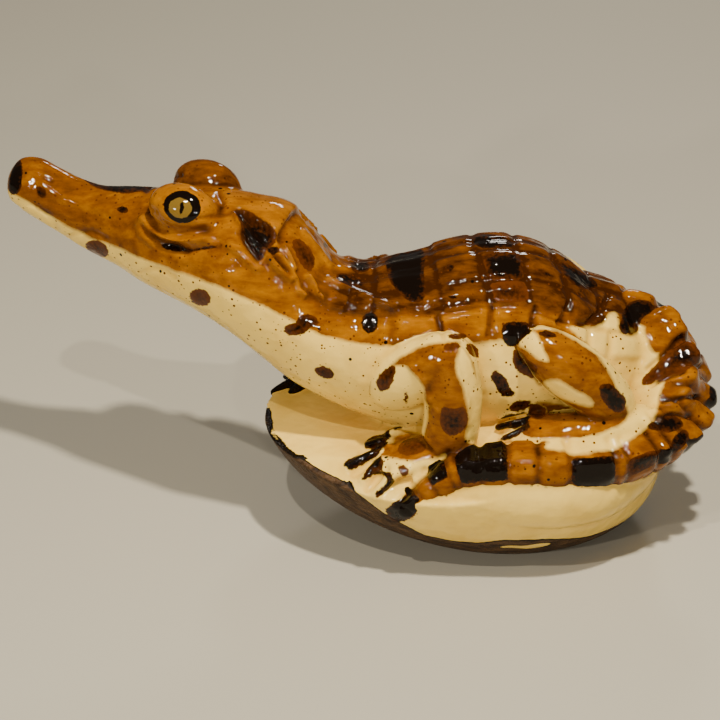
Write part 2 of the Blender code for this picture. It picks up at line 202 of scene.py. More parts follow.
def follow(keys, t):
    """A smooth curve through the rows of keys, read at t from 0 to 1."""
    keys = np.asarray(keys, float)
    place = np.clip(t, 0, 1) * (len(keys) - 1)
    i = np.minimum(place.astype(int), len(keys) - 2)
    f = (place - i)[:, None]
    before, after = keys[np.maximum(i - 1, 0)], keys[np.minimum(i + 2, len(keys) - 1)]
    a, b = keys[i], keys[i + 1]
    start, end = (b - before) / 2, (after - a) / 2
    return (
        a * (1 + 2 * f) * (1 - f) ** 2
        + start * f * (1 - f) ** 2
        + b * f * f * (3 - 2 * f)
        - end * f * f * (1 - f)
    )


def between(value, start, full, ebbing, end):
    """1 from full to ebbing, and 0 before the start and past the end."""
    return smooth_step(start, full, value) * smooth_step(end, ebbing, value)


def unit_rows(vectors):
    return vectors / np.linalg.norm(vectors, axis=1, keepdims=True)


def from_right(degrees):
    """Angles of 270 to 360 as what they lack to a full turn."""
    return np.where(degrees > 270, degrees - 360, degrees)


def at_offsets(centre, side, up, across, high):
    return centre + side * across[:, None] + up * high[:, None]


def axis_frames(keys, t, upright=UP):
    """Centre, side and up directions along an axis, and the rest of each key."""
    row = follow(keys, t)
    step = 1e-3
    ahead, behind = follow(keys, t + step)[:, :3], follow(keys, t - step)[:, :3]
    forward = unit_rows(ahead - behind)
    side = unit_rows(np.cross(forward, np.array(upright)))
    return row[:, :3], side, np.cross(side, forward), row[:, 3:]


def wrap_form(along, around, shape, paint=None):
    """A sheet wrapped into a closed tube. shape(t, angle) places its points, paint colours them."""
    form = bmesh.new()
    bmesh.ops.create_grid(form, x_segments=along, y_segments=around, size=0.5)
    flat = np.array([vertex.co[:] for vertex in form.verts])
    t, angle = flat[:, 0] + 0.5, (flat[:, 1] + 0.5) * math.tau
    for vertex, place in zip(form.verts, shape(t, angle) * UNIT):
        vertex.co = place
    layers = paint(t, np.degrees(angle)) if paint else {}
    keep_form(form, **layers)


def head_relief(x, from_side):
    """The edge at the back of the skull, and the shield on the nape."""
    relief = SKULL_RISE * smooth_step(-2.4, 0, x - SKULL_EDGE) * smooth_step(0.4, 0, x - SKULL_EDGE)
    relief -= 0.5 * SKULL_RISE * bell(x - SKULL_EDGE - 0.7, 0.5)
    relief *= smooth_step(45, 62, from_side)
    start, end = NAPE_SHIELD
    shield = between(x, start, start + NAPE_SHIELD_EDGE, end - NAPE_SHIELD_EDGE, end)
    lumps = np.abs(np.cos(np.radians(3.6 * (90 - from_side))))
    return relief + NAPE_RISE * shield * smooth_step(46, 56, from_side) * (0.5 + 0.6 * lumps)


def cut_places(from_side):
    """Where each cut across the back runs, as places along x at these angles."""
    crown, foot = (follow(SPINE, np.array(shares))[:, 0] for shares in zip(*PLATE_CUTS))
    share = np.clip((from_side - ROW_EDGES[0]) / 45, 0, 1)
    return [low + (high - low) * share for high, low in zip(crown, foot)]


def plate_relief(x, degrees, from_side):
    """The keeled plates of the back, each cut at its own level, and the lumps of the flank."""
    back = smooth_step(42.5, 45, from_side) * between(x, *PLATED)
    cuts = cut_places(from_side)
    column = sum((x > cut).astype(float) for cut in cuts)
    row = np.searchsorted(ROW_EDGES, degrees)
    rise = (PLATE_RISE + 0.12 * np.sin(5.3 * column + 3.1 * row)) * back
    for low, high in zip(ROW_EDGES, ROW_EDGES[1:]):
        rise += KEEL_RISE * back * bell(degrees - (low + high) / 2, 2.6)
        rise -= 0.5 * CUT_DEPTH * back * bell(degrees - high, 1.0)
    for cut in cuts:
        rise -= CUT_DEPTH * back * bell(x - cut, 0.2)
    lumps = LUMP_RISE * np.ones_like(x)
    for cut in follow(SPINE, np.array(LUMP_CUTS))[:, 0]:
        lumps -= LUMP_RISE * bell(x - cut, 0.35)
    return rise + between(from_side, *LUMPED_ROUND) * between(x, *LUMPED) * lumps


def trunk_shape(t, angle):
    centre, side, up, size = axis_frames(SPINE, t)
    x, degrees = centre[:, 0], np.degrees(angle)
    from_side = 90 - np.abs(degrees - 90)
    relief = plate_relief(x, degrees, from_side) + head_relief(x, from_side)
    across = np.cos(angle) * (size[:, 0] + relief)
    rise = np.sin(angle)
    high = rise * (np.where(rise > 0, size[:, 1], size[:, 2]) + relief)
    return at_offsets(centre, side, up, across, high)


def trunk_paint(t, degrees):
    row = follow(SPINE, t)
    x, radius = row[:, 0], (row[:, 3] + row[:, 4]) / 2
    from_side = 90 - np.abs(from_right(degrees) - 90)
    edge = np.interp(x, *np.array(DYE_EDGE, float).T)
    dye = np.radians(from_side - edge) * radius
    back = smooth_step(41, 46, from_side) * smooth_step(-20.5, -19.0, x)
    tone = 0.38 + 0.52 * back + 0.18 * smooth_step(-28, -42, x)
    for cut in cut_places(from_side):
        tone += 0.4 * back * bell(x - cut, 0.14)
    for line in ROW_EDGES:
        tone += 0.2 * back * bell(degrees - line, 1.0)
    return {"dye": dye, "tone": tone, "trunk": 1.0}


wrap_form(*TRUNK_GRID, trunk_shape, trunk_paint)

# Tail
# It leaves the hips, curls round the right end of the nut and comes forward along its front rim,
# squared, ringed and banded in black, with two rows of crest scutes that sink towards its tip.
# Each station is centre x, y, z, half width, half height and the roll of its back outwards.
TAIL = (
    (6.0, 3.0, 17.6, 5.0, 5.4, 0.0),
    (10.0, 3.0, 18.0, 5.4, 5.4, 20.0),
    (13.0, 1.6, 17.5, 5.1, 4.9, 45.0),
    (15.0, -1.4, 15.3, 4.6, 4.4, 60.0),
    (14.9, -4.8, 13.4, 3.8, 3.8, 60.0),
    (12.6, -7.9, 12.3, 3.1, 3.1, 45.0),
    (9.0, -10.5, 12.0, 2.6, 2.6, 30.0),
    (4.0, -12.0, 12.2, 2.4, 2.3, 20.0),
    (-1.0, -12.4, 12.5, 2.2, 2.1, 15.0),
    (-5.0, -12.2, 11.9, 2.0, 1.9, 15.0),
    (-8.0, -12.4, 10.4, 1.7, 1.6, 15.0),
    (-10.3, -12.9, 8.2, 1.2, 1.2, 15.0),
    (-11.2, -13.0, 7.2, 0.3, 0.3, 15.0),
)
TAIL_LENGTH = 50.0
TAIL_SQUARENESS = 0.8
# Where the rings between the scutes are cut, as shares of the tail.
TAIL_CUTS = (
    0.052, 0.104, 0.158, 0.211, 0.256, 0.297, 0.336, 0.370, 0.400, 0.430,
    0.482, 0.502, 0.568, 0.615, 0.660, 0.708, 0.757, 0.776, 0.826, 0.866, 0.915,
)
RING_DEPTH = 0.24
CREST_ANGLES = (60.0, 116.0)
CREST_WIDTH = 15
CREST_HEIGHT = (
    (0.0, 0.0), (0.06, 0.7), (0.15, 1.1), (0.28, 1.0), (0.36, 0.8), (0.5, 0.4), (0.9, 0.15),
)
TAIL_GRID = (400, 160)
# The bank under the tail: its drop, half width and half height, its share of the tail's curve at
# its root, and where it starts and how far it reaches, as shares of the tail.
BANK = (3.0, 2.7, 3.6)
BANK_INSET = 0.92
BANK_STRETCH = (0.26, 0.60)
BANK_GRID = (90, 60)
# Black bands: from and to along the tail, and from and to round it.
TAIL_BANDS = (
    (0.104, 0.158, 95, 200),
    (0.258, 0.297, 100, 190),
    (0.336, 0.370, 112, 170),
    (0.401, 0.430, 110, 150),
    (0.503, 0.567, 104, 195),
    (0.661, 0.756, 30, 176),
    (0.777, 0.825, 50, 135),
    (0.868, 1.000, 30, 185),
)
# The amber's edges: shares of the tail, and how far round it the dye starts and stops there.
TAIL_DYE_LOW = (
    (0.0, 20), (0.17, 18), (0.2, 15), (0.26, 3), (0.3, 10), (0.36, 33), (0.46, 38), (0.5, 92),
    (0.56, 96), (0.6, 60), (0.64, 38), (1.0, 35),
)
TAIL_DYE_HIGH = (
    (0.0, 170), (0.45, 180), (0.5, 196), (0.58, 206), (0.66, 200), (0.75, 204), (1.0, 190),
)


def from_ring(t):
    """How far along the tail the nearest ring is, in units."""
    return np.min([np.abs(t - cut) for cut in TAIL_CUTS], axis=0) * TAIL_LENGTH


def tail_shape(t, angle):
    centre, side, up, size = axis_frames(TAIL, t)
    roll, degrees = np.radians(size[:, 2]), np.degrees(angle)
    from_cut = from_ring(t)
    relief = -RING_DEPTH * bell(from_cut, 0.3) * smooth_step(-0.5, 0.2, np.sin(angle)) * (t > 0.12)
    relief *= np.where(t < 0.44, smooth_step(25, 45, degrees), 1)
    lobe = np.interp(t, *np.array(CREST_HEIGHT).T) * np.clip(from_cut / 0.5, 0, 1) ** 0.7
    crest = np.maximum(*(bell(degrees - middle, CREST_WIDTH) for middle in CREST_ANGLES))
    relief += lobe * crest
    c, s = np.cos(angle), np.sin(angle)
    across = np.sign(c) * np.abs(c) ** TAIL_SQUARENESS * (size[:, 0] + relief)
    rise = np.sign(s) * np.abs(s) ** TAIL_SQUARENESS * (size[:, 1] + relief)
    turned_across = across * np.cos(roll) - rise * np.sin(roll)
    turned_rise = across * np.sin(roll) + rise * np.cos(roll)
    return at_offsets(centre, side, up, turned_across, turned_rise)


def tail_paint(t, degrees):
    degrees = from_right(degrees)
    radius = follow(TAIL, t)[:, 3]
    low, high = (np.interp(t, *np.array(edge, float).T) for edge in (TAIL_DYE_LOW, TAIL_DYE_HIGH))
    dye = np.radians(np.minimum(degrees - low, high - degrees)) * radius
    ink = np.full_like(t, FAR_OUTSIDE)
    for start, end, turn_low, turn_high in TAIL_BANDS:
        along = ((end - start) / 2 - np.abs(t - (start + end) / 2)) * TAIL_LENGTH
        round_it = np.radians(np.minimum(degrees - turn_low, turn_high - degrees)) * radius
        ink = np.maximum(ink, np.minimum(along, round_it))
    return {"dye": dye, "ink": ink, "tone": 0.46 + 0.25 * bell(from_ring(t), 0.35)}


def bank_shape(t, angle):
    """The bank of nut left standing under the tail."""
    start, stretch = BANK_STRETCH
    centre, side, up, _ = axis_frames(TAIL, start + stretch * t)
    drop, half_width, half_height = BANK
    swell = np.sin(math.pi * np.clip(t, 0.02, 0.98)) ** 0.4
    inset = smooth_step(0.55, 0.25, t) * (1 - BANK_INSET)
    centre = centre * np.stack([1 - inset, 1 - inset, np.ones_like(t)], axis=1)
    centre = centre - np.array([0.0, 0.0, drop])
    across = np.cos(angle) * half_width * swell
    high = np.sin(angle) * half_height * swell
    return at_offsets(centre, side, up, across, high)


def bank_paint(t, degrees):
    return {"base": 1.0}


wrap_form(*TAIL_GRID, tail_shape, tail_paint)
wrap_form(*BANK_GRID, bank_shape, bank_paint)

# Legs and feet
# The elbows and knees stand up beside the trunk, and the shins and forearms come down to flat
# feet with black toes. Each is one rounded form, amber on its outer side and cream behind.
# Each station is centre x, y, z, half width seen from the side and half thickness.
NEAR_ARM = (
    (-13.2, -4.0, 17.0, 2.6, 2.6),
    (-11.4, -6.6, 18.9, 3.2, 3.0),
    (-8.6, -8.4, 21.6, 2.9, 2.7),
    (-6.4, -9.3, 22.9, 2.4, 2.4),
    (-6.0, -9.6, 20.0, 2.8, 2.6),
    (-6.0, -9.7, 16.6, 2.8, 2.4),
    (-6.6, -9.6, 13.4, 2.7, 2.2),
    (-8.2, -9.4, 12.2, 1.6, 1.6),
)
FAR_ARM = (
    (-13.0, 4.0, 17.0, 2.6, 2.6),
    (-11.4, 7.2, 18.9, 3.2, 3.0),
    (-9.4, 9.2, 21.4, 2.8, 2.6),
    (-8.4, 10.0, 22.2, 2.4, 2.3),
    (-9.6, 10.2, 19.2, 2.9, 2.5),
    (-11.8, 9.8, 16.2, 2.8, 2.3),
    (-14.4, 9.0, 13.6, 2.5, 2.1),
    (-16.4, 8.4, 12.4, 1.5, 1.5),
)
NEAR_SHANK = (
    (0.9, -6.5, 22.6, 1.6, 1.6),
    (2.6, -8.0, 23.0, 2.5, 2.2),
    (5.4, -8.6, 21.2, 3.0, 2.5),
    (8.2, -8.1, 18.5, 2.8, 2.5),
    (10.0, -7.3, 16.4, 2.3, 2.2),
    (11.4, -6.7, 14.8, 1.4, 1.4),
)
FAR_SHANK = (
    (0.9, 9.0, 22.2, 1.6, 1.6),
    (2.6, 10.8, 22.4, 2.5, 2.2),
    (5.6, 11.6, 20.2, 3.0, 2.5),
    (8.4, 11.4, 17.2, 2.8, 2.5),
    (10.2, 10.6, 14.8, 2.3, 2.2),
    (11.4, 10.0, 13.4, 1.4, 1.4),
)
NEAR_PAW = (
    (-5.6, -9.4, 12.6, 1.6, 1.5),
    (-7.2, -9.3, 12.4, 2.4, 1.7),
    (-9.6, -9.2, 12.0, 2.9, 1.5),
    (-11.8, -9.4, 11.5, 3.0, 1.0),
    (-13.4, -9.5, 10.9, 2.2, 0.6),
)
FAR_PAW = (
    (-13.8, 8.8, 12.8, 1.6, 1.5),
    (-15.4, 8.6, 12.5, 2.4, 1.6),
    (-17.6, 8.0, 12.2, 2.9, 1.3),
    (-19.6, 7.4, 12.0, 2.9, 0.9),
    (-20.8, 7.0, 11.9, 2.0, 0.6),
)
NEAR_FOOT = (
    (14.2, -6.0, 14.4, 1.2, 1.4),
    (12.4, -7.4, 14.6, 2.0, 2.0),
    (9.0, -8.6, 14.6, 2.2, 2.0),
    (5.4, -9.0, 14.5, 2.3, 1.8),
    (2.6, -8.8, 14.5, 2.2, 1.4),
    (0.8, -8.6, 14.4, 1.6, 0.8),
)
FAR_FOOT = (
    (13.0, 10.0, 13.4, 1.2, 1.4),
    (11.2, 11.0, 13.4, 2.0, 1.8),
    (8.0, 12.0, 13.2, 2.2, 1.8),
    (4.6, 12.4, 13.0, 2.3, 1.6),
    (2.0, 12.2, 12.8, 2.2, 1.2),
    (0.2, 12.0, 12.6, 1.6, 0.7),
)
LIMB_GRID, FOOT_GRID, TOE_GRID = (90, 60), (70, 50), (24, 20)
LIMB_DYE_REACH = 62
FOOT_DYE_REACH = 70
TOE_RADIUS = 0.62
NEAR_PAW_TOES = (
    ((-10.6, -7.0, 12.6), (-12.4, -5.9, 12.2)),
    ((-11.8, -7.6, 12.2), (-14.6, -6.3, 11.4)),
    ((-12.6, -8.8, 11.6), (-16.4, -8.8, 10.5)),
    ((-12.6, -10.2, 11.2), (-15.0, -11.0, 9.9)),
    ((-11.7, -11.2, 11.0), (-13.8, -12.5, 9.2)),
)
FAR_PAW_TOES = (
    ((-19.4, 9.2, 12.2), (-21.0, 10.4, 11.6)),
    ((-20.2, 8.2, 12.1), (-23.0, 8.0, 11.4)),
    ((-20.4, 7.0, 12.1), (-24.2, 4.4, 11.4)),
    ((-20.0, 5.8, 12.2), (-22.2, 4.0, 11.7)),
)
NEAR_FOOT_TOES = (
    ((2.6, -7.0, 15.0), (-0.6, -6.0, 14.5)),
    ((2.2, -8.0, 15.0), (-1.6, -7.8, 14.3)),
    ((1.8, -9.0, 14.6), (-1.4, -9.4, 13.8)),
    ((2.2, -9.9, 14.3), (-0.2, -10.4, 13.6)),
)
FAR_FOOT_TOES = (
    ((2.0, 10.6, 13.2), (-1.0, 10.0, 12.6)),
    ((1.6, 11.6, 13.2), (-2.0, 11.6, 12.4)),
    ((1.6, 12.6, 13.0), (-1.8, 13.0, 12.2)),
    ((2.2, 13.6, 12.8), (-0.6, 14.2, 11.8)),
)


def limb_shape(keys, upright):
    """A rounded limb or foot along its keys, closed by a blunt end each way."""

    def shape(t, angle):
        centre, side, up, size = axis_frames(keys, t, upright)
        blunt = np.sqrt(np.clip(1 - (2 * t - 1) ** 8, 0.0004, 1))
        across = np.cos(angle) * size[:, 0] * blunt
        high = np.sin(angle) * size[:, 1] * blunt
        return at_offsets(centre, side, up, across, high)

    return shape


def outer_dye(middle, reach):
    """Amber within so many degrees of the angle that faces outwards."""

    def paint(t, degrees):
        away = np.abs((degrees - middle + 180) % 360 - 180)
        return {"dye": np.radians(reach - away) * 2.6, "tone": 0.52}

    return paint


def toe_shape(start, end):
    start, end = np.array(start), np.array(end)
    root = start + 0.35 * (start - end)
    keys = [
        (*(root + (end - root) * share), TOE_RADIUS * thick, TOE_RADIUS * thick)
        for share, thick in ((0, 0.9), (0.35, 1.0), (0.7, 0.95), (1, 0.6))
    ]
    return limb_shape(keys, UP)


def near_toe_paint(t, degrees):
    """Cream, because the near toes' ink is among the marks."""
    return {"dye": -1.0}


def far_toe_paint(t, degrees):
    return {"dye": -1.0, "ink": (t - 0.25) * 3}


for keys, outwards in ((NEAR_ARM, 262), (FAR_ARM, 98), (NEAR_SHANK, 285), (FAR_SHANK, 75)):
    wrap_form(*LIMB_GRID, limb_shape(keys, SIDEWAYS), outer_dye(outwards, LIMB_DYE_REACH))
for keys in (NEAR_PAW, FAR_PAW, NEAR_FOOT, FAR_FOOT):
    wrap_form(*FOOT_GRID, limb_shape(keys, UP), outer_dye(90, FOOT_DYE_REACH))
for toes, toe_paint in (
    (NEAR_PAW_TOES, near_toe_paint),
    (NEAR_FOOT_TOES, near_toe_paint),
    (FAR_PAW_TOES, far_toe_paint),
    (FAR_FOOT_TOES, far_toe_paint),
):
    for start, end in toes:
        wrap_form(*TOE_GRID, toe_shape(start, end), toe_paint)

# Eyes
# Two bulges stand up beside the crown of the head, cut from the same nut as everything else and
# dyed amber. Each has a painted eye on its outer side, which comes with the dye and the ink.
# Each row is the bulge's middle and how dark its dye is.
EYE_BULGES = (((-32.3, 0.9, 33.8), 0.28), ((-30.2, 7.2, 33.5), 0.8))
EYE_HALF = (3.6, 2.4, 2.7)
EYE_TILT = 8.0
HEAD_TURN = -20.0
for middle, tone in EYE_BULGES:
    bulge = ball(middle, EYE_HALF, turn=HEAD_TURN, tilt=EYE_TILT)
    keep_form(bulge, dye=-FAR_OUTSIDE, tone=tone, trunk=1.0)

# One skin
# The forms are one piece of nut, so they are fused into one closed surface, rubbed smooth, cut
# flat where the base stands, and only then given the finer strokes of the knife.
SKIN_CELL = 0.19 * UNIT
SKIN_SMOOTHING = 3
EYE_RUB_REACH = 5.5
EYE_RUB_ROUNDS = 14


def joined_forms():
    form = bmesh.new()
    for mesh in forms:
        form.from_mesh(mesh)
        bpy.data.meshes.remove(mesh)
    return meshed(form, "crocodile_forms")


def evaluated_mesh(piece):
    """The piece's mesh with its modifiers applied, which replaces the mesh that it had."""
    graph = bpy.context.evaluated_depsgraph_get()
    mesh = bpy.data.meshes.new_from_object(piece.evaluated_get(graph))
    piece.modifiers.clear()
    piece.data = mesh
    return mesh


def outermost(mesh):
    """Keeps the largest shell, and cuts it off flat at the table."""
    form = bmesh.new()
    form.from_mesh(mesh)
    left, shells = set(form.verts), []
    while left:
        shell, front = set(), [left.pop()]
        while front:
            vertex = front.pop()
            shell.add(vertex)
            joined = {edge.other_vert(vertex) for edge in vertex.link_edges} & left
            left -= joined
            front.extend(joined)
        shells.append(shell)
    shells.sort(key=len)
    for shell in shells[:-1]:
        bmesh.ops.delete(form, geom=list(shell), context="VERTS")
    cut_flat(form, (0, 0, 0), (0, 0, -1))
    form.to_mesh(mesh)
    form.free()


parted = joined_forms()
carving = bpy.data.objects.new("crocodile_carving_skin", parted.copy())
bpy.context.scene.collection.objects.link(carving)
one_skin = carving.modifiers.new("one_skin", "REMESH")
one_skin.mode = "VOXEL"
one_skin.voxel_size = SKIN_CELL
rubbed = carving.modifiers.new("rubbed_smooth", "SMOOTH")
rubbed.factor = 0.5
rubbed.iterations = SKIN_SMOOTHING
skin = evaluated_mesh(carving)
outermost(skin)

count = len(skin.vertices)
places = np.empty(count * 3)
skin.vertices.foreach_get("co", places)
places = places.reshape(-1, 3) / UNIT
edges = np.empty(len(skin.edges) * 2, int)
skin.edges.foreach_get("vertices", edges)
edges = edges.reshape(-1, 2)


def normals_now():
    skin.update()
    normals = np.empty(count * 3)
    skin.vertices.foreach_get("normal", normals)
    return normals.reshape(-1, 3)


def evened(values, rounds):
    """Each vertex's value averaged with its neighbours', so many times over."""
    values = values.astype(float)
    share = np.bincount(edges.ravel(), minlength=count) + 1.0
    for _ in range(rounds):
        total = values.copy()
        for layer in range(values.shape[1]):
            total[:, layer] += np.bincount(edges[:, 0], values[edges[:, 1], layer], count)
            total[:, layer] += np.bincount(edges[:, 1], values[edges[:, 0], layer], count)
        values = total / share[:, None]
    return values


def carried_paint():
    """What the nearest point of the forms carries, for each vertex of the skin."""
    corners = [vertex.co[:] for vertex in parted.vertices]
    tree = BVHTree.FromPolygons(corners, [polygon.vertices[:] for polygon in parted.polygons])
    layers = [np.empty(len(parted.vertices)) for _ in PLAIN]
    for values, name in zip(layers, PLAIN):
        parted.attributes[name].data.foreach_get("value", values)
    first = np.array([polygon.vertices[0] for polygon in parted.polygons])
    nearest = [tree.find_nearest(Vector(place) * UNIT)[2] for place in places]
    return evened(np.stack(layers, axis=1)[first[nearest]], 2).T


def rub(middle, reach, rounds):
    """Rubs the skin smooth about a place, less and less towards the reach."""
    share = smooth_step(reach, 0.6 * reach, np.linalg.norm(places - np.array(middle), axis=1))
    smoothed = evened(places, rounds)
    places[:] = places + (smoothed - places) * share[:, None]


for middle, _ in EYE_BULGES:
    rub(middle, EYE_RUB_REACH, EYE_RUB_ROUNDS)
skin.vertices.foreach_set("co", (places * UNIT).ravel())
normals = normals_now()
dye, ink, tone, trunk, base = carried_paint()
bpy.data.meshes.remove(parted)

# The view that the carver and painter work from
# Strokes and marks are placed by where they are seen in the front view, 720 by 720, and land on
# the surface that shows there. Those on the head and trunk are repeated on the hidden side,
# mirrored across the spine, and on the turned head a little lower. The camera has the same view.
PICTURE = 720
PICTURE_UNITS = 72.0
VIEW_ELEVATION = 28.0
VIEW_AIM = (-15.0, 0.0, 17.67)
VIEW_DISTANCE = 300.0
elevation = math.radians(VIEW_ELEVATION)
view_back = np.array([0.0, -math.cos(elevation), math.sin(elevation)])
view_up = np.array([0.0, math.sin(elevation), math.cos(elevation)])
view_eye = np.array(VIEW_AIM) + view_back * VIEW_DISTANCE
PER_UNIT = PICTURE / PICTURE_UNITS
FAR_DROP = 18
FACING = 0.02
SIGHT_START = 0.25
SIGHT_REACH = 80.0
SPINE_STEPS = 400

skin_tree = BVHTree.FromPolygons(
    [tuple(place) for place in places], [polygon.vertices[:] for polygon in skin.polygons]
)


def row_dots(vectors, others):
    return np.einsum("ij,ij->i", vectors, others)


def in_picture(points):
    """Where points are seen in the picture, across and down."""
    from_eye = points - view_eye
    depth = -from_eye @ view_back
    across = from_eye[:, 0] * VIEW_DISTANCE / depth
    up = (from_eye @ view_up) * VIEW_DISTANCE / depth
    return np.stack([PICTURE / 2 + across * PER_UNIT, PICTURE / 2 - up * PER_UNIT], axis=1)


def under(marks):
    """The places on the skin that show at these marks of the picture."""
    found = []
    for across, down in marks:
        aim = np.array(VIEW_AIM) + view_up * (PICTURE / 2 - down) / PER_UNIT
        aim[0] += (across - PICTURE / 2) / PER_UNIT
        hit = skin_tree.ray_cast(Vector(view_eye), Vector(aim - view_eye))[0]
        if hit:
            found.append(hit[:])
    return np.array(found)


def mirrored(points, vectors):
    """Points and directions mirrored across the upright surface through the spine."""
    centres, sides, _, _ = axis_frames(SPINE, np.linspace(0, 1, SPINE_STEPS))
    nearest = [np.argmin(np.abs(centres[:, 0] - x)) for x in points[:, 0]]
    across = row_dots(points - centres[nearest], sides[nearest])
    turned = row_dots(vectors, sides[nearest])
    return (
        points - 2 * across[:, None] * sides[nearest],
        vectors - 2 * turned[:, None] * sides[nearest],
        across,
    )


towards_eye = unit_rows(view_eye - places)
turned_to_eye = row_dots(normals, towards_eye)
near = turned_to_eye > FACING
for number in np.flatnonzero(near):
    start = Vector(places[number] + normals[number] * SIGHT_START)
    if skin_tree.ray_cast(start, Vector(towards_eye[number]), SIGHT_REACH)[0]:
        near[number] = False
other_places, other_normals, across_spine = mirrored(places, normals)
facing = row_dots(other_normals, unit_rows(view_eye - other_places)) > FACING
other_side = across_spine * across_spine[np.argmin(places[:, 1])] < 0
far = other_side & facing & (trunk > 0.5) & ~near
drop = FAR_DROP * smooth_step(-20, -24, places[:, 0])
lowered = in_picture(other_places) - drop[:, None] * np.array([0, 1])
seen = np.where(far[:, None], lowered, in_picture(places))

# Strokes of the knife
# The eyelids, mouth, ears, folds of the neck and edges of the flesh are cut or left standing by
# single strokes: how high each stands, how wide it is, and its line in the front view.
EAR = (
    (232, 210), (242, 207), (254, 213), (263, 218), (271, 224), (276, 230), (279, 237), (277, 243),
    (272, 247), (266, 250), (260, 244), (254, 237), (248, 229), (241, 220),
)
EAR_DEPTH = 1.1
STROKES = (
    (0.80, 0.50, ((145, 220), (152, 229), (164, 235), (181, 239), (206, 240))),
    (-0.30, 0.60, ((152, 213), (159, 224), (169, 229), (186, 232), (205, 231))),
    (-0.25, 0.30, ((146, 190), (151, 183), (163, 178), (180, 175))),
    (0.28, 0.45, ((139, 224), (143, 235), (154, 244), (161, 246))),
    (-0.22, 0.35, ((145, 226), (151, 235), (162, 241), (180, 245))),
    (-0.45, 0.45, ((160, 245), (171, 246), (185, 251))),
    (-0.20, 0.28, ((185, 251), (202, 248), (219, 246))),
    (-0.20, 0.25, ((200, 219), (216, 216), (230, 213))),
    (-0.30, 0.35, ((219, 194), (223, 202), (221, 210))),
    (0.25, 0.60, ((31, 170), (46, 184), (62, 197), (92, 206), (120, 212))),
    (-0.20, 0.22, ((28, 168), (39, 176), (52, 182))),
    (-0.18, 0.30, ((20, 202), (39, 207), (49, 216), (57, 230))),
    (-0.18, 0.30, ((67, 238), (76, 233), (92, 231), (105, 238))),
    (-0.18, 0.30, ((140, 273), (151, 268), (164, 270), (174, 277))),
    (0.45, 0.22, ((233, 213), (240, 222), (245, 230), (253, 241), (259, 253), (261, 260))),
    (-0.55, 0.35, ((241, 233), (246, 242), (252, 251), (258, 259))),
    (0.45, 0.45, ((231, 246), (240, 252), (250, 262), (257, 268))),
    (0.85, 0.35, ((268, 257), (273, 263), (278, 268), (285, 275), (291, 279))),
    (0.60, 0.24, ((280, 256), (285, 263), (290, 270), (296, 280))),
    (0.60, 0.24, ((285, 250), (289, 257), (294, 269))),
    (-0.35, 0.30, ((276, 258), (284, 269), (292, 279), (300, 288))),
    (0.85, 0.30, ((307, 277), (312, 285), (316, 293), (324, 300))),
    (0.70, 0.28, ((297, 284), (300, 291), (304, 295))),
    (-0.45, 0.40, ((296, 214), (290, 222), (284, 232), (281, 240))),
    (0.30, 0.35, ((303, 232), (318, 250), (329, 265))),
    (0.45, 0.35, ((329, 280), (350, 290), (374, 301), (392, 307))),
    (-0.25, 0.28, ((437, 318), (441, 328), (444, 340))),
    (-0.25, 0.28, ((492, 308), (490, 322), (488, 336))),
    (-0.25, 0.28, ((535, 306), (531, 328))),
    (-0.25, 0.28, ((569, 303), (565, 312), (559, 324))),
    (-0.30, 0.30, ((537, 311), (560, 321), (586, 325), (600, 311), (608, 296))),
    (0.22, 0.28, ((456, 350), (456, 366), (462, 384), (467, 400), (468, 424))),
    (0.25, 0.30, ((411, 367), (423, 381), (429, 400))),
    (-0.30, 0.35, ((449, 453), (436, 461), (418, 479), (398, 503))),
    (0.35, 0.35, ((407, 427), (390, 434))),
    (0.35, 0.35, ((392, 436), (368, 446))),
    (0.45, 0.38, ((388, 445), (348, 467))),
    (0.40, 0.35, ((381, 459), (362, 482))),
    (0.40, 0.38, ((393, 476), (376, 496))),
    (-0.30, 0.35, ((392, 441), (362, 452))),
    (-0.35, 0.35, ((378, 456), (354, 474))),
    (-0.35, 0.35, ((386, 468), (367, 490))),
    (0.30, 0.30, ((528, 411), (500, 417))),
    (0.35, 0.35, ((533, 418), (498, 427))),
    (0.30, 0.30, ((532, 425), (502, 439))),
    (-0.30, 0.30, ((524, 415), (500, 421))),
    (-0.30, 0.30, ((526, 422), (502, 433))),
    (-0.45, 0.30, ((683, 337), (672, 346), (661, 357), (648, 369))),
    (0.30, 0.40, ((700, 352), (700, 362), (688, 369))),
    (-0.45, 0.30, ((700, 366), (682, 371), (666, 377), (650, 385))),
    (-0.40, 0.25, ((698, 397), (679, 400), (662, 401))),
    (-0.35, 0.25, ((690, 417), (672, 415), (656, 419))),
    (0.30, 0.40, ((644, 322), (655, 313), (668, 309), (679, 314))),
)


def line_distance(line, marks):
    """How far each of these marks is from a drawn line, in units."""
    closest = np.full(len(marks), np.inf)
    for a, b in zip(np.array(line, float), np.array(line[1:], float)):
        share = np.clip(((marks - a) @ (b - a)) / ((b - a) @ (b - a)), 0, 1)
        closest = np.minimum(closest, np.linalg.norm(marks - a - share[:, None] * (b - a), axis=1))
    return closest / PER_UNIT


def about(line):
    """Which vertices are seen in a drawn line's box, or as near to it as ink and dye reach."""
    line, margin = np.array(line), -FAR_OUTSIDE * PER_UNIT
    return np.all((seen > line.min(axis=0) - margin) & (seen < line.max(axis=0) + margin), axis=1)


def stroke(height, width, line):
    """The height that one stroke adds at each vertex."""
    raised, close = np.zeros(count), about(line)
    raised[close] = height * bell(line_distance(line, seen[close]), width)
    return raised


def rounded(outline):
    """A closed outline with its corners cut off twice, and its first point repeated at the end."""
    outline = np.array(outline, float)
    for _ in range(2):
        ahead = np.roll(outline, -1, axis=0)
        pairs = np.stack([0.8 * outline + 0.2 * ahead, 0.2 * outline + 0.8 * ahead], axis=1)
        outline = pairs.reshape(-1, 2)
    return np.concatenate([outline, outline[:1]])


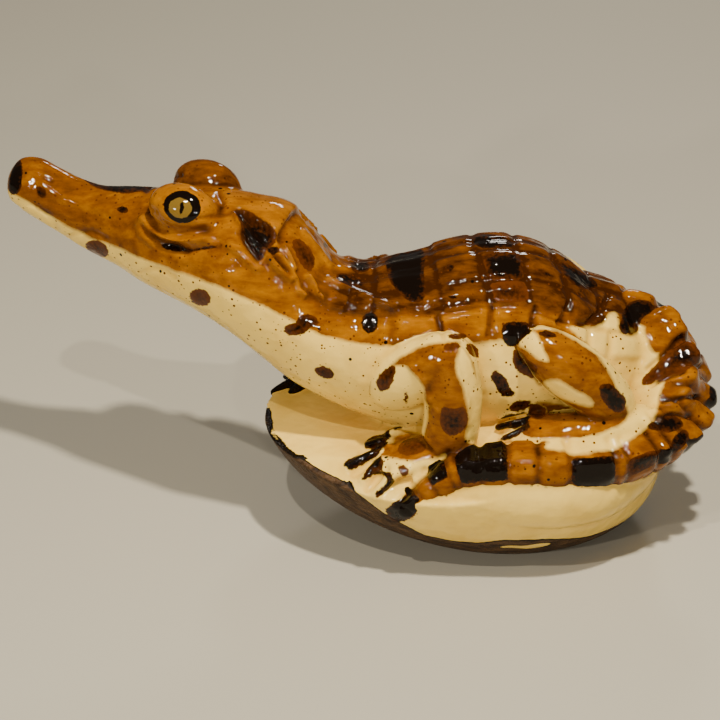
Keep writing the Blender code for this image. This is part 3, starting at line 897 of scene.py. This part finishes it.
def inside(outline):
    """How far inside a drawn outline each vertex is seen, in units and negative outside it."""
    closed, depth, close = rounded(outline), np.full(count, FAR_OUTSIDE), about(outline)
    marks = seen[close]
    within = np.zeros(len(marks), bool)
    for a, b in zip(closed, closed[1:]):
        crosses = (a[1] > marks[:, 1]) != (b[1] > marks[:, 1])
        reach = a[0] + (marks[:, 1] - a[1]) / ((b[1] - a[1]) or 1e-9) * (b[0] - a[0])
        within ^= crosses & (marks[:, 0] < reach)
    depth[close] = np.where(within, 1, -1) * line_distance(closed, marks)
    return depth


lift = -EAR_DEPTH * smooth_step(-0.15, 0.7, inside(EAR))
for height, width, line in STROKES:
    lift += stroke(height, width, line)
# On the hidden side the strokes come in only past the edge of the view.
shown = near + far * smooth_step(0.0, -0.4, turned_to_eye)
lift *= evened(shown[:, None], 3)[:, 0]
places += normals * lift[:, None]
skin.vertices.foreach_set("co", (places * UNIT).ravel())
normals = normals_now()

# Amber dye on the near legs and tail, and painted shade in the hollows
# The outer faces of the near legs and of the tail's curl are dyed to lines that the painter
# chose, with cream left along their edges. The hollowness found here paints the dye and, later,
# the cream darker in the hollows of the carving as painted shade, and lighter on its ridges as
# painted light.
DYED_PATCHES = (
    (
        (394, 362), (414, 350), (430, 344), (444, 342), (459, 341), (461, 348), (457, 352), (454, 360),
        (455, 374), (463, 390), (466, 407), (467, 425), (463, 437), (450, 450), (442, 453), (426, 437),
        (426, 421), (428, 407), (426, 394), (422, 382), (413, 372), (411, 367), (402, 366), (397, 368),
    ),
    (
        (531, 331), (545, 329), (561, 331), (581, 344), (597, 360), (604, 380), (612, 396), (616, 412),
        (606, 413), (590, 414), (561, 402), (540, 385), (528, 373), (537, 367), (552, 378), (573, 388),
        (592, 398), (580, 384), (556, 366), (541, 352), (533, 340),
    ),
    (
        (532, 403), (552, 402), (580, 411), (612, 413), (630, 408), (622, 416), (600, 422), (575, 426),
        (545, 430), (524, 434), (530, 422), (546, 418), (546, 406),
    ),
    (
        (390, 444), (396, 435), (411, 432), (424, 435), (433, 446), (442, 456), (435, 457), (411, 461),
        (390, 459), (384, 455),
    ),
    (
        (644, 333), (645, 322), (654, 312), (668, 306), (684, 310), (692, 325), (688, 338), (671, 346),
        (660, 354), (652, 352),
    ),
    (
        (666, 380), (672, 372), (690, 367), (706, 367), (716, 385), (710, 410), (700, 425), (686, 420),
        (671, 416), (657, 418), (657, 408), (661, 396),
    ),
    ((617, 451), (632, 439), (649, 430), (664, 430), (690, 425), (690, 440), (670, 455), (640, 456)),
)
BARE_PATCHES = (
    (
        (372, 362), (398, 366), (410, 367), (422, 382), (427, 394), (428, 407), (426, 430), (410, 424),
        (388, 424), (366, 404),
    ),
    (
        (461, 343), (471, 358), (478, 380), (484, 401), (487, 430), (487, 444), (464, 442), (468, 425),
        (467, 407), (464, 390), (456, 372), (455, 360),
    ),
    (
        (384, 456), (411, 462), (436, 458), (446, 455), (430, 470), (412, 484), (396, 500), (370, 498),
        (350, 470),
    ),
    ((541, 382), (553, 378), (573, 388), (595, 401), (592, 408), (573, 404), (553, 395)),
    ((515, 336), (526, 329), (537, 333), (543, 348), (552, 364), (540, 361), (528, 350), (518, 346)),
    (
        (566, 326), (592, 327), (604, 323), (609, 313), (617, 312), (620, 332), (632, 337), (641, 330),
        (645, 345), (652, 354), (658, 357), (648, 368), (640, 384), (655, 384), (666, 380), (660, 394),
        (656, 416), (648, 428), (632, 438), (617, 449), (590, 452), (545, 450), (546, 442), (590, 438),
        (622, 424), (630, 412), (620, 396), (612, 378), (600, 358), (584, 342),
    ),
)
# How much the fine and the broad hollowness count in the painted shade, over so many rounds of
# evening, and their limits.
FINE_HOLLOW, BROAD_HOLLOW = (1.6, 8), (0.8, 60)
HOLLOW_LIMITS = (-0.12, 1.0)
for outline in DYED_PATCHES:
    dye = np.where(near, np.maximum(dye, inside(outline)), dye)
for outline in BARE_PATCHES:
    dye = np.where(near, np.minimum(dye, -inside(outline)), dye)


def hollowness(weight, rounds):
    """How far each vertex lies below the level of the skin round about it, in units."""
    return weight * row_dots(evened(places, rounds) - places, normals)


hollow_shade = np.clip(hollowness(*FINE_HOLLOW) + hollowness(*BROAD_HOLLOW), *HOLLOW_LIMITS)
# Painted shade and painted light: the dye is darkened in the hollows and lightened on the ridges.
tone += hollow_shade

# Black marks
# Every mark but one is a dab of ink from a loaded brush; the one under a lump of the flank is
# painted shade. Each row is how brown the thin part of its ink is and its outline; those of the
# head, neck and back are on both sides.
MARKS = (
    (0.0, ((14, 164), (21, 159), (23, 172), (22, 186), (16, 196), (8, 192), (9, 176))),
    (0.2, ((36, 188), (39, 186), (46, 189), (47, 196), (44, 199), (38, 196))),
    (0.2, ((117, 209), (122, 205), (129, 208), (128, 213), (121, 214))),
    (0.3, ((76, 174), (92, 186), (105, 191), (125, 194), (148, 191), (165, 186), (160, 176), (120, 172),
           (88, 168))),
    (1.0, ((84, 244), (93, 239), (105, 243), (109, 250), (107, 258), (98, 257), (88, 251))),
    (0.0, ((159, 243), (171, 243), (184, 248), (186, 252), (173, 252), (162, 249))),
    (0.0, ((185, 250), (202, 247), (218, 245), (219, 247), (202, 250), (186, 252))),
    (0.5, (*EAR[:10], (264, 258), (260, 262), (255, 259), (248, 251), (241, 241), (239, 232), (242, 228),
           (238, 220))),
    (0.1, ((266, 248), (273, 246), (279, 247), (279, 252), (273, 256), (268, 253))),
    (0.9, ((292, 240), (300, 238), (308, 246), (316, 258), (315, 268), (307, 272), (300, 262), (293, 250))),
    (0.3, ((322, 242), (326, 241), (330, 250), (326, 251))),
    (1.1, ((190, 292), (196, 288), (206, 290), (212, 298), (208, 306), (198, 306), (190, 300))),
    (0.6, ((282, 330), (288, 324), (295, 323), (300, 315), (310, 313), (320, 321), (317, 326), (310, 328),
           (305, 334), (295, 336), (286, 335))),
    (0.5, ((313, 369), (322, 365), (332, 369), (336, 375), (330, 381), (320, 377))),
    (0.0, ((361, 320), (366, 313), (374, 312), (379, 320), (377, 330), (369, 335), (362, 330))),
    (0.2, ((349, 262), (370, 260), (369, 272), (353, 273))),
    (0.2, ((336, 274), (346, 273), (364, 280), (362, 288), (346, 286), (337, 283))),
    (0.2, ((383, 256), (394, 253), (405, 250), (420, 247), (425, 252), (426, 262), (424, 270), (425, 282),
           (425, 290), (424, 302), (410, 303), (400, 294), (391, 284), (387, 272))),
    (0.1, ((470, 240), (478, 234), (494, 234), (510, 239), (516, 247), (500, 248), (480, 249))),
    (0.4, ((481, 254), (500, 252), (519, 251), (522, 262), (524, 279), (508, 280), (489, 280), (486, 268))),
    (1.0, ((490, 283), (508, 281), (525, 281), (528, 292), (529, 301), (508, 303), (495, 302), (492, 292))),
    (0.1, ((445, 265), (453, 264), (455, 269), (448, 271))),
    (0.1, ((447, 295), (456, 295), (460, 299), (450, 300))),
    (0.1, ((540, 271), (548, 272), (555, 277), (546, 277))),
    (0.2, ((556, 262), (566, 263), (584, 273), (598, 282), (598, 288), (584, 290), (572, 284), (564, 275))),
    # Painted shade: a dark brown mark for the shade under a lump of the flank.
    (0.6, ((447, 335), (456, 333), (468, 334), (467, 338), (456, 340), (448, 338))),
    (0.1, ((504, 323), (514, 321), (530, 323), (532, 333), (524, 337), (517, 346), (508, 348), (503, 341),
           (501, 331))),
)
NEAR_MARKS = (
    (1.0, ((397, 447), (404, 439), (417, 437), (428, 445), (425, 452), (411, 456), (399, 454))),
    (0.9, ((443, 344), (459, 342), (461, 348), (452, 352), (444, 350))),
    (0.9, ((465, 344), (472, 343), (479, 349), (480, 358), (474, 358), (468, 352))),
    (0.3, ((489, 376), (497, 368), (506, 378), (511, 390), (518, 393), (510, 398), (502, 398), (496, 388))),
    (0.7, ((514, 348), (522, 352), (528, 360), (538, 366), (537, 374), (533, 380), (522, 374), (514, 368),
           (512, 358))),
    (0.3, ((538, 331), (548, 330), (557, 334), (556, 338), (546, 338), (539, 335))),
    (0.3, ((599, 386), (609, 382), (618, 390), (627, 400), (624, 411), (616, 413), (607, 407), (600, 396))),
    (0.7, ((375, 382), (381, 372), (392, 364), (397, 368), (393, 382), (388, 391), (379, 392))),
    (0.8, ((441, 405), (453, 409), (465, 406), (468, 419), (463, 433), (451, 437), (442, 431), (439, 421))),
    (1.0, ((397, 465), (403, 464), (411, 470), (406, 478), (400, 476))),
    (1.0, ((404, 392), (408, 392), (408, 405), (405, 404))),
    (0.1, ((389, 434), (394, 427), (407, 425), (403, 430), (393, 434))),
    (0.1, ((364, 445), (368, 438), (380, 435), (392, 432), (393, 438), (382, 445), (370, 449), (365, 448))),
    (0.1, ((343, 467), (346, 460), (360, 455), (380, 444), (390, 441), (388, 448), (374, 458), (360, 466),
           (350, 472))),
    (0.2, ((372, 461), (376, 457), (383, 456), (384, 466), (378, 472), (366, 480), (360, 483), (368, 472))),
    (0.2, ((373, 472), (384, 470), (394, 474), (395, 480), (390, 488), (380, 498), (373, 496), (386, 482),
           (388, 477), (375, 475))),
    (0.2, ((412, 487), (417, 497), (414, 508), (418, 511), (409, 520), (396, 524), (383, 511), (393, 503))),
    (0.6, ((509, 406), (516, 400), (530, 400), (535, 403), (524, 410), (510, 412))),
    (0.1, ((499, 417), (503, 414), (528, 409), (527, 412), (512, 416), (501, 418))),
    (0.1, ((496, 427), (500, 422), (518, 419), (532, 416), (533, 420), (520, 427), (506, 430), (498, 430))),
    (0.1, ((500, 440), (508, 432), (518, 427), (530, 424), (532, 428), (520, 435), (510, 440))),
    (0.8, ((526, 412), (530, 406), (537, 404), (546, 407), (546, 417), (535, 421), (527, 419))),
    (0.2, ((621, 313), (628, 303), (637, 299), (650, 301), (656, 308), (652, 313), (643, 318), (639, 326),
           (632, 333), (624, 335), (620, 330), (619, 324), (622, 319))),
    (0.9, ((641, 384), (643, 377), (652, 367), (662, 358), (671, 347), (682, 339), (690, 340), (700, 349),
           (703, 359), (694, 367), (680, 371), (667, 375), (652, 382), (643, 386))),
    (0.4, ((645, 426), (652, 422), (664, 415), (675, 415), (684, 422), (682, 428), (671, 433), (660, 431),
           (650, 430))),
    (0.4, ((629, 459), (645, 453), (661, 449), (658, 462), (645, 470), (631, 476), (628, 468))),
    (0.2, ((673, 437), (684, 428), (690, 436), (687, 444), (675, 453), (668, 456), (671, 445))),
)
brown = np.zeros(count)
for marks, shown in ((MARKS, near | far), (NEAR_MARKS, near)):
    for thin, outline in marks:
        inked = np.where(shown, inside(outline), FAR_OUTSIDE)
        brown = np.where(inked > ink, thin, brown)
        ink = np.maximum(ink, inked)

# Bark
# The nut's own skin is left on the underside, up to an uneven edge inked with a fine black line.
# The edge is drawn in the front view and repeated on the hidden side. A scrape in front is worn
# through to the cream, and only the nut's own round surface has bark.
BARK_EDGE = (
    (268, 408), (268, 424), (273, 439), (288, 450), (302, 457), (331, 470), (344, 476), (353, 489),
    (366, 500), (382, 512), (412, 529), (424, 535), (453, 541), (477, 543), (506, 540), (550, 539),
    (587, 537), (600, 533), (618, 529), (637, 517), (652, 500), (660, 480),
)
BARK_WORN = ((494, 548), (508, 545), (526, 546), (540, 543), (553, 543), (547, 546), (530, 549), (512, 548))
BARK_THICKNESS = 0.65
edge_places = under(BARK_EDGE)
edge_round = np.arctan2(np.abs(edge_places[:, 1]), edge_places[:, 0] - NUT_MIDDLE[0])
order = np.argsort(edge_round)
all_round = np.arctan2(np.abs(places[:, 1]), places[:, 0] - NUT_MIDDLE[0])
bark = np.interp(all_round, edge_round[order], edge_places[order, 2]) - places[:, 2]
upright = (places - np.array(NUT_MIDDLE)) @ np.array(Matrix.Rotation(math.radians(NUT_TILT), 3, "Y"))
off_nut = np.abs(np.linalg.norm(upright / np.array(NUT_HALF), axis=1) - 1) * min(NUT_HALF)
bark = np.minimum.reduce([bark, (base - 0.5) * 4, (BARK_THICKNESS - off_nut) * 3])
bark = np.where(near, np.minimum(bark, -6 * inside(BARK_WORN)), bark)

LAYERS = {
    "dye": dye, "ink": ink, "tone": tone, "brown": brown, "bark": bark, "hollow_shade": hollow_shade, "base": base,
}
for name, values in LAYERS.items():
    layer = skin.attributes.new(name, "FLOAT", "POINT")
    layer.data.foreach_set("value", np.clip(values, FAR_OUTSIDE, -FAR_OUTSIDE).astype(np.float32))

SKIN_TRIANGLES = 194000
triangles = sum(len(polygon.vertices) - 2 for polygon in skin.polygons)
fewer = carving.modifiers.new("fewer_faces", "DECIMATE")
fewer.ratio = min(1.0, SKIN_TRIANGLES / triangles)
skin = evaluated_mesh(carving)
skin.name = "crocodile_skin"
skin.shade_smooth()

# Dye, ink and varnish
# Cream nut shows where nothing is painted, amber dye is streaked along the grain, black ink has
# brown thin edges, and a clear glossy varnish lies over everything but the duller bark.
varnished = bpy.data.materials.new("varnished_nut")
varnished.use_nodes = True


class Paint:
    """A socket of the varnish's node tree, so that masks are written as sums and products."""

    tree = varnished.node_tree

    def __init__(self, socket):
        self.socket = socket

    @classmethod
    def node(cls, kind, settings=None, inputs=None, output=0):
        made = cls.tree.nodes.new(kind)
        for name, value in (settings or {}).items():
            setattr(made, name, value)
        for name, value in (inputs or {}).items():
            if isinstance(value, Paint):
                cls.tree.links.new(value.socket, made.inputs[name])
            else:
                made.inputs[name].default_value = value
        return cls(made.outputs[output])

    def math(self, operation, other=0.0, swapped=False, clamp=False):
        pair = (other, self) if swapped else (self, other)
        settings = {"operation": operation, "use_clamp": clamp}
        return self.node("ShaderNodeMath", settings, dict(enumerate(pair)))

    def __add__(self, other):
        return self.math("ADD", other)

    __radd__ = __add__

    def __mul__(self, other):
        return self.math("MULTIPLY", other)

    __rmul__ = __mul__

    def __sub__(self, other):
        return self.math("SUBTRACT", other)

    def __rsub__(self, other):
        return self.math("SUBTRACT", other, swapped=True)

    def clamped(self):
        return self.math("ADD", 0.0, clamp=True)

    def over(self, low, high):
        """0 below low and 1 above high."""
        return ((self - low) * (1 / (high - low))).clamped()

    def mixed(self, below, above):
        """The colour below where this is 0, and above where it is 1."""
        settings = {"data_type": "RGBA"}
        return self.node("ShaderNodeMix", settings, {0: self, 6: below, 7: above}, output=2)


def attribute(name):
    return Paint.node("ShaderNodeAttribute", {"attribute_name": name}, output="Fac")


def noise(scale, detail=2.0, roughness=0.5, stretch=(1, 1, 1)):
    """Even noise about 0.5, with scale as the number of cells in a unit."""
    spread = Paint.node("ShaderNodeVectorMath", {"operation": "MULTIPLY"}, {0: place, 1: stretch})
    inputs = {"Vector": spread, "Scale": scale / UNIT, "Detail": detail, "Roughness": roughness}
    return Paint.node("ShaderNodeTexNoise", None, inputs)


def flecks(scale, size, share):
    """Small dots: in this share of the cells of a lattice, a dot of this size."""
    inputs = {"Vector": place, "Scale": scale / UNIT, "Randomness": 1.0}
    cell = Paint.node("ShaderNodeTexVoronoi", None, inputs, output="Distance")
    draws = Paint.node("ShaderNodeTexVoronoi", None, inputs, output="Color")
    chance = Paint.node("ShaderNodeSeparateColor", None, {0: draws}, output=0)
    big = Paint.node("ShaderNodeSeparateColor", None, {0: draws}, output=1)
    dot = (size * (big * big * 1.5 + 0.4) - cell).over(0.0, 0.04)
    return dot * (share - chance).over(0.0, 0.001)


# The painted eyes: a thick black ring round a gold iris with an upright slit, brushed on the
# side of each bulge. Each is centre in the front view, half width and half height. They lean by
# an angle, reach so far from their plane, and sit lower on the hidden side.
EYE_RING = ((182, 206.6), 1.86, 1.58)
EYE_IRIS = ((180.2, 208), 1.16, 0.99)
EYE_SLIT = ((181.5, 208), 0.22, 0.66)
EYE_TURN = 0.18
EYE_REACH = 2.6
FAR_EYE_DROP = 0.8


def oval(middle, right, up, half_wide, half_high, ragged):
    """1 inside an oval painted round this place on an eye, in the plane of right and up."""
    off = Paint.node("ShaderNodeVectorMath", {"operation": "SUBTRACT"}, {0: place, 1: middle * UNIT})
    lean = right * math.cos(EYE_TURN) - up * math.sin(EYE_TURN)
    rise = up * math.cos(EYE_TURN) + right * math.sin(EYE_TURN)
    dot = {"operation": "DOT_PRODUCT"}
    across, over, away = (
        Paint.node("ShaderNodeVectorMath", dot, {0: off, 1: along}, output="Value")
        for along in (lean / half_wide / UNIT, rise / half_high / UNIT, np.cross(right, up) / UNIT)
    )
    inner = 1 - (across * across + over * over).math("POWER", 0.5) + ragged * (0.3 / half_wide)
    return inner.over(0.0, 0.05 / half_wide) * (EYE_REACH - away.math("ABSOLUTE")).over(0.0, 0.1)


CREAM = (0.82, 0.57, 0.12, 1)
# CREAM_SHADE is the cream's darker random tone and also its painted shade in the hollows.
CREAM_SHADE = (0.68, 0.43, 0.070, 1)
AMBER_LIGHT = (0.33, 0.120, 0.0, 1)
AMBER = (0.155, 0.045, 0.0, 1)
AMBER_DEEP = (0.032, 0.008, 0.0, 1)
INK = (0.004, 0.002, 0.001, 1)
INK_THIN = (0.085, 0.021, 0.001, 1)
IRIS_GOLD = (0.150, 0.088, 0.012, 1)
BARK = (0.100, 0.052, 0.020, 1)
BARK_DARK = (0.012, 0.005, 0.002, 1)
BARK_LINE = 0.13
BUMP_DEPTH = 0.28 * UNIT
VARNISH_GLOSS = 0.18

place = Paint.node("ShaderNodeTexCoord", None, None, output="Object")
wavy = noise(0.55, 3.0) - 0.5
fine = noise(2.6, 3.0) - 0.5
streaks = noise(0.9, 4.0, 0.6, (0.35, 1, 1))

eye_parts = (EYE_RING, EYE_IRIS, EYE_SLIT)
eye_middles = under([middle for middle, _, _ in eye_parts])
eye_rights = np.tile([1.0, 0.0, 0.0], (len(eye_parts), 1))
eye_ups = np.tile(view_up, (len(eye_parts), 1))
other_middles, other_rights, _ = mirrored(eye_middles, eye_rights)
other_middles = other_middles - FAR_EYE_DROP * np.array(UP)
other_ups = mirrored(eye_middles, eye_ups)[1]
eyes = [
    [
        oval(middle, right, up, half_wide, half_high, fine)
        for middle, right, up, (_, half_wide, half_high) in zip(*looks, eye_parts)
    ]
    for looks in ((eye_middles, eye_rights, eye_ups), (other_middles, other_rights, other_ups))
]

# The cream is darker in random patches, and is also painted darker in the hollows as painted shade and
# lighter on the ridges as painted light.
shaded = noise(0.16, 4.0, 0.6) - attribute("hollow_shade") * 0.9
cream = shaded.over(0.25, 0.6).mixed(CREAM_SHADE, CREAM)
grain = noise(2.4, 3.0, 0.6, (0.3, 1, 1)) - 0.5
# The tone brings the painted shade of the hollows and the painted light of the ridges into the amber.
strength = (attribute("tone") + (streaks - 0.5) * 1.1 + wavy * 0.6 + grain * 0.35).clamped()
amber = strength.over(0.0, 0.5).mixed(AMBER_LIGHT, AMBER)
amber = strength.over(0.5, 1.0).mixed(amber, AMBER_DEEP)
dyed = (attribute("dye") + wavy * 0.5 + fine * 0.15).over(-0.24, 0.18)
colour = dyed.mixed(cream, amber)

bark_depth = attribute("bark") + wavy * 0.35 + fine * 0.12
barked = bark_depth.over(-0.03, 0.03)
bark_line = (BARK_LINE - bark_depth.math("ABSOLUTE")).over(0.0, 0.05)
bark_brown = noise(1.2, 5.0, 0.7, (0.3, 1, 1)).over(0.35, 0.65).mixed(BARK_DARK, BARK)
colour = barked.mixed(colour, bark_brown)
colour = bark_line.mixed(colour, INK)

# Fine specks of both inks are spattered on the animal and not on the base.
dotted = 1 - attribute("base")
colour = (flecks(2.1, 0.17, 0.8) * dotted).mixed(colour, INK_THIN)
colour = (flecks(0.7, 0.09, 0.9) * dotted).mixed(colour, INK)
thin = (attribute("brown") + fine * 1.6 + wavy * 0.8 + (0.2 - attribute("ink")) * 0.9).clamped()
inked = (attribute("ink") + fine * 0.35 + wavy * 0.2).over(-0.04, 0.06)
colour = inked.mixed(colour, thin.mixed(INK, INK_THIN))
for ring, iris, slit in eyes:
    colour = ring.mixed(colour, INK)
    colour = iris.mixed(colour, IRIS_GOLD)
    colour = slit.mixed(colour, INK)

# The varnish has slow waves and a faint grain, and the bark is rough.
bumps = noise(0.5, 1.0) * 0.8 + noise(1.6, 1.0) * 0.14 + noise(4.5, 0.0, 0.5, (0.4, 1, 1)) * 0.012
bumps = bumps + barked * noise(3.0, 4.0) * 0.8
waves = {"Height": bumps, "Distance": BUMP_DEPTH, "Strength": 1.0}
relief = Paint.node("ShaderNodeBump", None, waves)
rough = 0.03 + barked * 0.42 + noise(0.8, 3.0) * 0.06

gloss = varnished.node_tree.nodes["Principled BSDF"]
for name, value in (("Base Color", colour), ("Roughness", rough), ("Normal", relief)):
    varnished.node_tree.links.new(value.socket, gloss.inputs[name])
gloss.inputs["Specular IOR Level"].default_value = VARNISH_GLOSS
skin.materials.clear()
skin.materials.append(varnished)
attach(carving, "root")
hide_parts("crocodile_carving")

# Studio
# A plain pale floor that fades into the background, a soft main light from above and in front,
# two small ones near it for the varnish's glints, dimmer ones from the left and from behind, and
# the front view's camera.
FLOOR_HALF = 1.2
FLOOR_COLOUR = (0.42, 0.395, 0.32, 1)
floor_form = bmesh.new()
bmesh.ops.create_grid(floor_form, x_segments=1, y_segments=1, size=FLOOR_HALF)
floor_mesh = meshed(floor_form, "floor")
floor = bpy.data.objects.new("floor", floor_mesh)
bpy.context.scene.collection.objects.link(floor)
floor_paint = bpy.data.materials.new("pale_floor")
floor_paint.use_nodes = True
floor_shader = floor_paint.node_tree.nodes["Principled BSDF"]
floor_shader.inputs["Base Color"].default_value = FLOOR_COLOUR
floor_shader.inputs["Roughness"].default_value = 0.7
floor_mesh.materials.append(floor_paint)

# Each light's place and size, its power at the carving, and its tint.
LIGHTS = (
    ("key", (30.0, -80.0, 260.0), 14.0, 3.3, (1.0, 0.90, 0.75)),
    ("glint", (-60.0, -130.0, 220.0), 5.0, 0.9, (1.0, 0.91, 0.78)),
    ("face", (20.0, -250.0, 120.0), 6.0, 0.55, (1.0, 0.91, 0.78)),
    ("front", (-190.0, -210.0, 120.0), 12.0, 0.8, (1.0, 0.92, 0.80)),
    ("back", (40.0, 260.0, 160.0), 50.0, 0.40, (1.0, 0.94, 0.86)),
)
for name, spot, size, power, tint in LIGHTS:
    light = bpy.data.lights.new(name, "AREA")
    light.shape = "DISK"
    light.size = size * UNIT
    light.energy = 4 * power * (Vector(spot) * UNIT).length_squared
    light.color = tint
    lamp = bpy.data.objects.new(name, light)
    lamp.location = Vector(spot) * UNIT
    lamp.rotation_euler = (Vector(VIEW_AIM) - Vector(spot)).to_track_quat("-Z", "Y").to_euler()
    bpy.context.scene.collection.objects.link(lamp)

world = bpy.data.worlds.new("studio")
world.use_nodes = True
world.node_tree.nodes["Background"].inputs["Color"].default_value = (0.90, 0.85, 0.76, 1)
world.node_tree.nodes["Background"].inputs["Strength"].default_value = 0.14
bpy.context.scene.world = world

SENSOR = 36.0
lens = bpy.data.cameras.new("front_view")
lens.sensor_width = SENSOR
lens.lens = SENSOR * VIEW_DISTANCE / PICTURE_UNITS
lens.clip_start = 0.01
camera = bpy.data.objects.new("front_view", lens)
camera.location = Vector(view_eye) * UNIT
camera.rotation_euler = Vector(-view_back).to_track_quat("-Z", "Y").to_euler()
bpy.context.scene.collection.objects.link(camera)
bpy.context.scene.camera = camera
